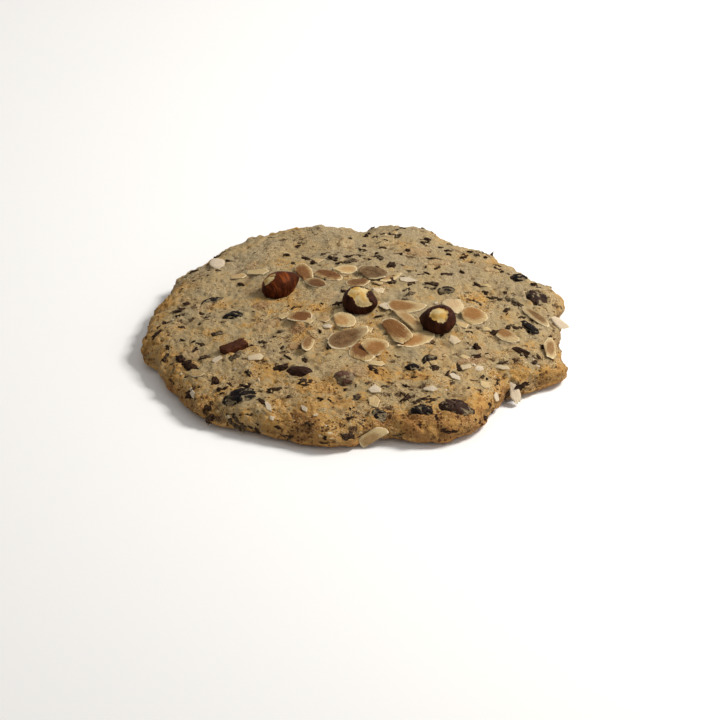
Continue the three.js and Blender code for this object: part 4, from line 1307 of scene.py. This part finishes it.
def joined(name, template, faces, seats, turn, sizes, sink, material, slot, bumpy, smooth=True,
           **marks):
    """Copies of one template, each scaled, turned, sunk into the skin and roughened."""
    count = len(seats)
    copies = np.broadcast_to(template, (count,) + template.shape)
    offset = draw(np.arange(count), 41)[:, None, None] * 90
    bumps = 1 + bumpy * noise(copies * 2.1 + offset, 1.0, 131)[..., None]
    shaped = copies * bumps * sizes[:, None, :]
    deeper = sink - 0.3 * ramp(SHARE[seats], 0.9, 0.97)
    centre = DOUGH[seats] + DOUGH_NORMALS[seats] * deeper[:, None]
    points = (centre[:, None] + np.einsum("nvi,nij->nvj", shaped, seat_axes(seats, turn))).reshape(-1, 3)
    spread = {key: np.repeat(np.broadcast_to(value, count), len(template)) for key, value in marks.items()}
    flat = (copies[..., :2] * sizes[:, None, :2] / 10).reshape(-1, 2)
    make_piece(name, points, copied(faces, count, len(template)), material, slot, smooth=smooth, uv=flat,
               **spread)


weight = np.sqrt(np.maximum(0.02, 0.35 + rough(plan, 30, 141, 2)))
weight = weight * (1 - pressed) * (0.7 + 0.5 * ramp(SHARE, 0.5, 0.95))
for x, y, length, *_ in CHIPS:
    weight = weight * (np.hypot(plan[:, 0] - x, plan[:, 1] - y) > 0.5 * length)
print("seats to choose from", len(TOP_POINTS))

# %% [markdown]
# ## Chopped fruit
# The bits that stand out lie where the eye expects them, so a list places
# them. The smallest follow chance, more of them in some areas and near the rim
# and none on a slice or a chip. Each is a low ball, long, narrow and sunk into
# the skin, because only its top shows.

# %% Chopped fruit
BITS = [
    # x, y, length, turn of the darker bits that stand out
    (-29, 50, 3.5, -20), (12, 92, 5, -10), (11, 71, 4, 0), (17, 67, 3, 37), (4, 71, 4, -50),
    (3, 54, 3.5, -37), (-3, 47, 4, 10), (-2, 42, 5, 29), (-7, 40, 3.5, 20), (4, 45, 4, -37),
    (9, 46, 5, -60), (14, 37, 4.5, 50), (22, 88, 4, -37), (22, 21, 3, 37), (20, 15, 3, 37),
    (7, 23, 3, 0), (-60, -2, 3, 0), (-56, -16, 5, 0), (-61, -22, 4, -37), (-60, -31, 4, 20),
    (-48, -35, 6, 44), (-25, -1, 2.5, 37), (-29, -18, 4, 37), (-37, -25, 4, -37), (-29, -31, 4, 50),
    (-20, -40, 4, -50), (-30, -45, 6, 10), (-42, -47, 4, -55), (-20, -56, 6, -10), (-32, -59, 6, 0),
    (7, -47, 6, -55), (-11, -33, 3, 90), (12, -57, 4, 29), (20, -58, 3, -37), (-10, -68, 2, -37),
    (-14, -68, 3, -60), (-1, -76, 4, 29), (0, -64, 4.5, 37), (-47, -70, 7, -64), (-9, -82, 5, 20),
    (-2, -83, 6, 0), (-18, -79, 4, 10), (19, -66, 6, 44), (30, 67, 4.5, 80), (35, 62, 4, -20),
    (32, 48, 5, -29), (47, 59, 2.5, -37), (50, 54, 2.5, -37), (47, 48, 3, 0), (33, 38, 3, 37),
    (29, 33, 3.5, -37), (37, 33, 5, 50), (43, 38, 3, -50), (57, 45, 2.5, -20), (59, 42, 3, -55),
    (26, 32, 3, 0), (31, 22, 5, 10), (50, 24, 4, -37), (48, 10, 6, -64), (53, 18, 3.5, 0),
    (55, 14, 5, -10), (62, 13, 6, -55), (66, 9, 5, -60), (60, 3, 5, 60), (55, -14, 5.5, 50),
    (61, -9, 4, 74), (65, -28, 7, -37), (58, -36, 4, 20), (35, -20, 3.5, 60), (38, -46, 5, 50),
    (38, -56, 4, 60), (56, -46, 5, 68), (50, -47, 3, 60), (66, -45, 6, 37), (64, -50, 7, 60),
    (53, -59, 6, -60), (27, -67, 6, 20), (74, 25, 3.5, 20), (73, 41, 3, -50), (78, 32, 2.5, -20),
    (-77, -1, 3, -37), (-70, 8, 6, 44), (-79, -10, 6, 44), (-69, -18, 4, -50), (-75, -21, 3, 74),
    (-63, -25, 4, 64), (-76, -27, 5, 60), (-73, -31, 2.5, 0), (-69, -31, 5, -68), (-59, -32, 4, 10),
    (-67, -42, 3.5, 0), (-72, -36, 4, 74), (-64, -38, 5, -37), (-64, -52, 6, 37), (-55, -50, 5, 74),
    (-51, -55, 3, 37), (-42, -54, 5, 20), (-57, -62, 5, 50), (-42, -71, 5, 20), (-33, -79, 4, 20),
    (-20, 46, 4, -20), (-13, 49, 3.5, 30), (-17, 42, 3, 10), (-9, 45, 4, -40), (2, 49, 4, 15),
    (-26, 41, 3, -30), (-12, 24, 3, 40), (-5, 12, 3.5, -20), (-52, -78, 4, 30), (-44, -82, 5, 10),
    (-38, -75, 4, -30), (-60, -70, 4, 40), (-28, -84, 4, 0), (-50, -64, 4, 60), (-36, -66, 5, -40),
    (36, -80, 5, -10), (48, -72, 5, 30), (57, -66, 4, 50), (15, -83, 4, 0), (-4, -60, 3.5, 30),
    (14, 22, 5, 10), (14.5, 26, 3.5, -20), (7, 12, 5, 0), (22, 9.5, 4, 50), (19.5, 4.5, 4, 20),
    (23, -2.5, 4, -40), (8.5, 31, 4, -30), (3, 30, 4, 40), (-3.5, 29.5, 4.5, 15),
    (29.5, 17.5, 5, -20), (12, -11, 3, 0), (-10, 27, 3.5, 20),
]
bits = np.array(BITS)
directions, bit_faces = ball(12, 20)
number = np.arange(len(bits))
sizes = np.stack([bits[:, 2] * 0.5, bits[:, 2] * between(0.18, 0.34, draw(number, 43)),
                  between(0.45, 0.8, draw(number, 44))], 1)
joined("chopped_fruit_large", directions, bit_faces, nearest_seats(bits[:, :2]), np.radians(bits[:, 3]),
       sizes, between(-0.45, -0.1, draw(number, 45)), DARK_BIT, "dried_fruit", 0.9,
       cover=0.5 + draw(number, 46) * 0.5)

# %% The smallest bits
SMALL_BITS = 190
TURN_ROUND = 6.28  # a full turn in radians
number = np.arange(SMALL_BITS)
directions, bit_faces = ball(7, 10)
length = between(0.7, 2.2, draw(number, 51) ** 1.6)
sizes = np.stack([length, length * between(0.4, 0.85, draw(number, 52)),
                  between(0.3, 0.6, draw(number, 53))], 1)
joined("chopped_fruit_small", directions, bit_faces, chance_seats(SMALL_BITS, 54, weight),
       TURN_ROUND * draw(number, 55), sizes, between(-0.3, -0.05, draw(number, 56)), DARK_BIT,
       "dried_fruit", 0.9, cover=0.3 + draw(number, 57) * 0.6)

# %% [markdown]
# ## Chips and thin flakes of almond
# Broken slices leave small chips with five straight sides. In the plain solid
# they are fused to the dough, and here they are one joined mesh that rests on
# the finished skin. A few stray ones follow the sunflower pattern, and thin
# flakes lie round the nuts. Cutting up real slices would give the same shapes
# with far more triangles.

# %% Where the chips lie
STRAY_COUNT, STRAY_REACH = 10, 78
FLAKES = [
    # x, y, length, width, turn, toast of thin flakes round the nuts and the slices
    (20.8, 23.1, 8, 6, -15, 0.02), (-7.2, -5.4, 7, 4.5, 60, 0.3), (3.6, -20.2, 7, 5.5, -40, 0.25),
    (12.5, -1.5, 9, 7, -20, 0.05), (43, -35, 5, 4, 20, 0.2), (30, -41, 5, 3.5, -60, 0.45),
    (-19, -13, 6, 5, 10, 0.4), (9, 19, 6, 3, -25, 0.35), (-31, 17, 7, 4, 20, 0.3),
    (25.5, -28, 5, 3.5, 70, 0.35), (52, -13, 6, 4, 15, 0.3),
]
number = np.arange(STRAY_COUNT)
reach = STRAY_REACH * np.sqrt((number + 0.5) / STRAY_COUNT)
length = between(4, 7, draw(number, 31))
STRAYS = np.stack([
    reach * np.cos(number * GOLDEN_ANGLE + 1), reach * np.sin(number * GOLDEN_ANGLE + 1),
    length, length * between(0.5, 0.8, draw(number, 32)),
    360 * draw(number, 33), 0.15 + 0.5 * draw(number, 34),
], axis=1)
ALL_CHIPS = np.concatenate([CHIPS, STRAYS, FLAKES])
print("chips and flakes:", len(ALL_CHIPS))

# %% Chips
CHIP_HALF = 0.27  # half the thickness of a chip
CHIP_LIFT = 0.22  # how far its middle stands above the skin
angle, out, face, chip_faces = disc(7, 36)


def chip(index):
    """A disc whose outline runs straight between five corners drawn by chance, curled
    along its length and laid on the skin at a height that most of it below reaches."""
    x, y, length, width, turn, toast = ALL_CHIPS[index]
    corners = np.arange(6) * 2 * math.pi / 5
    corners[1:-1] += 0.35 * (2 * draw(index + 5, corners[1:-1] * 7) - 1)
    ragged = between(0.6, 1.15, draw(index + 3, np.arange(6) * 1.7))
    corner = np.stack([length / 2 * ragged * np.cos(corners), width / 2 * ragged * np.sin(corners)], 1)
    corner[-1] = corner[0]
    outline = np.stack([np.interp(angle, corners, part) for part in corner.T], 1)
    way = np.stack([np.cos(angle), np.sin(angle)], 1)
    outline *= 1 + 0.04 * noise(way * 2.5 + index, 1.0, 151)[:, None]
    half = CHIP_HALF * np.sqrt(1 - np.minimum(out, 1) ** 24) * face
    curl = between(-0.5, 0.0, draw(index, 35)) * (out * np.cos(angle)) ** 2
    centre, axes = lay(x, y, turn, 2, 0)
    near = np.linalg.norm(DOUGH[TOP_POINTS] - centre, axis=1) < 0.42 * length + 0.8
    rest = np.percentile((DOUGH[TOP_POINTS[near]] - centre) @ axes[2], 80)
    local = np.column_stack([outline * out[:, None], half + curl])
    return place(local, centre + axes[2] * (rest + CHIP_LIFT), axes)


count, size = len(ALL_CHIPS), len(out)
number, toast = np.repeat(np.arange(count), size), np.repeat(ALL_CHIPS[:, 5], size)
chip_map = np.tile(np.stack([out * np.cos(angle), out * np.sin(angle)], 1) * 0.4, (count, 1))
make_piece("almond_chips", np.concatenate([chip(index) for index in range(count)]),
           copied(chip_faces, count, size), ALMOND, "almond", smooth=False,
           uv=chip_map + number[:, None] * 0.37, out=np.tile(out, count), toast=toast, grey=0.0,
           veil=0.15, seed=draw(number, 36) * 9, core=toast * 0.7 - 0.25)

# %% [markdown]
# ## Crumbs of almond
# The smallest splinters are pale, angular crumbs, most of them near the front.
# Coarse balls with flat shading look broken rather than round.

# %% Crumbs
CRUMBS = 70
number = np.arange(CRUMBS)
directions, crumb_faces = ball(5, 8)
length = between(0.4, 1.3, draw(number, 61) ** 2)
sizes = np.stack([length, length * between(0.35, 0.8, draw(number, 62)), length * 0.35], 1)
seats = chance_seats(CRUMBS, 63, weight * (0.5 + ramp(-plan[:, 1], -20, 60)))
joined("almond_crumbs", directions, crumb_faces, seats, TURN_ROUND * draw(number, 64), sizes,
       between(0.0, 0.25, draw(number, 65)), ALMOND, "almond", 0.6, False, grey=0.0,
       out=draw(number, 66) * 0.5 + 0.3, toast=draw(number, 67) * 0.3, veil=0.1, core=-0.3,
       seed=draw(number, 68) * 9)

# %% [markdown]
# ## Floor and light
# The background is white, so the floor is pale and matt. The main
# light comes from the right, a little behind, and is small enough to give the
# crags their shadows. A wide soft one fills in from the right and the front, a
# weak one from behind keeps the far rim from going dark, and the sky does the
# rest. An image of a room would light it too, but less plainly.

# %% Floor
floor_mesh = bpy.data.meshes.new("floor")
floor_mesh.from_pydata([(-3, -3, 0), (3, -3, 0), (3, 3, 0), (-3, 3, 0)], [], [(0, 1, 2, 3)])
floor = bpy.data.objects.new("floor", floor_mesh)
bpy.context.scene.collection.objects.link(floor)
paper, tree, spot = new_material("pale floor")
mottle = cloud(tree, spot, 4.0)
close_material(tree, blend(tree, mottle, (0.95, 0.95, 0.95), (0.97, 0.97, 0.97)), 0.9, mottle, 0.01)
floor_mesh.materials.append(paper)
print("floor of", *floor.dimensions.xy, "metres")

# %% Light
def soft_light(name, place, size, energy, colour):
    """A square lamp, size metres wide, that faces the middle of the cookie."""
    lamp = bpy.data.lights.new(name, "AREA")
    lamp.size, lamp.energy, lamp.color = size, energy, colour
    holder = bpy.data.objects.new(name, lamp)
    holder.location = place
    holder.rotation_euler = (-Vector(place)).to_track_quat("-Z", "Y").to_euler()
    bpy.context.scene.collection.objects.link(holder)


soft_light("key", (0.6, 0.14, 0.66), 0.28, 8.4, (1.0, 0.975, 0.93))
soft_light("fill", (0.85, -0.6, 0.45), 0.8, 2.1, (1.0, 0.97, 0.93))
soft_light("back", (-0.2, 0.9, 0.7), 0.8, 1.2, (1.0, 0.98, 0.96))
world = bpy.data.worlds.new("studio")
world.use_nodes = True
background = world.node_tree.nodes["Background"].inputs
background["Color"].default_value = (1.0, 0.98, 0.95, 1)
background["Strength"].default_value = 0.33
bpy.context.scene.world = world
bpy.context.scene.view_settings.view_transform = "Standard"

# %% [markdown]
# ## Camera
# The photograph was taken from about 29 degrees above the table with a long
# lens, so shapes at the back are hardly smaller than those in front. A camera
# two metres away with a 250 millimetre lens does the same.

# %% Camera
AIM = Vector((1.82, -13.8, 0.0)) * MM
DISTANCE = 2.0
camera = bpy.data.objects.new("camera", bpy.data.cameras.new("camera"))
camera.data.lens = 250.0
camera.location = AIM + DISTANCE * Vector((0, -math.cos(ELEVATION), math.sin(ELEVATION)))
camera.rotation_euler = (math.pi / 2 - ELEVATION, 0, 0)
camera.data.clip_end = 10
bpy.context.scene.collection.objects.link(camera)
bpy.context.scene.camera = camera
print("camera at", [round(v, 3) for v in camera.location])
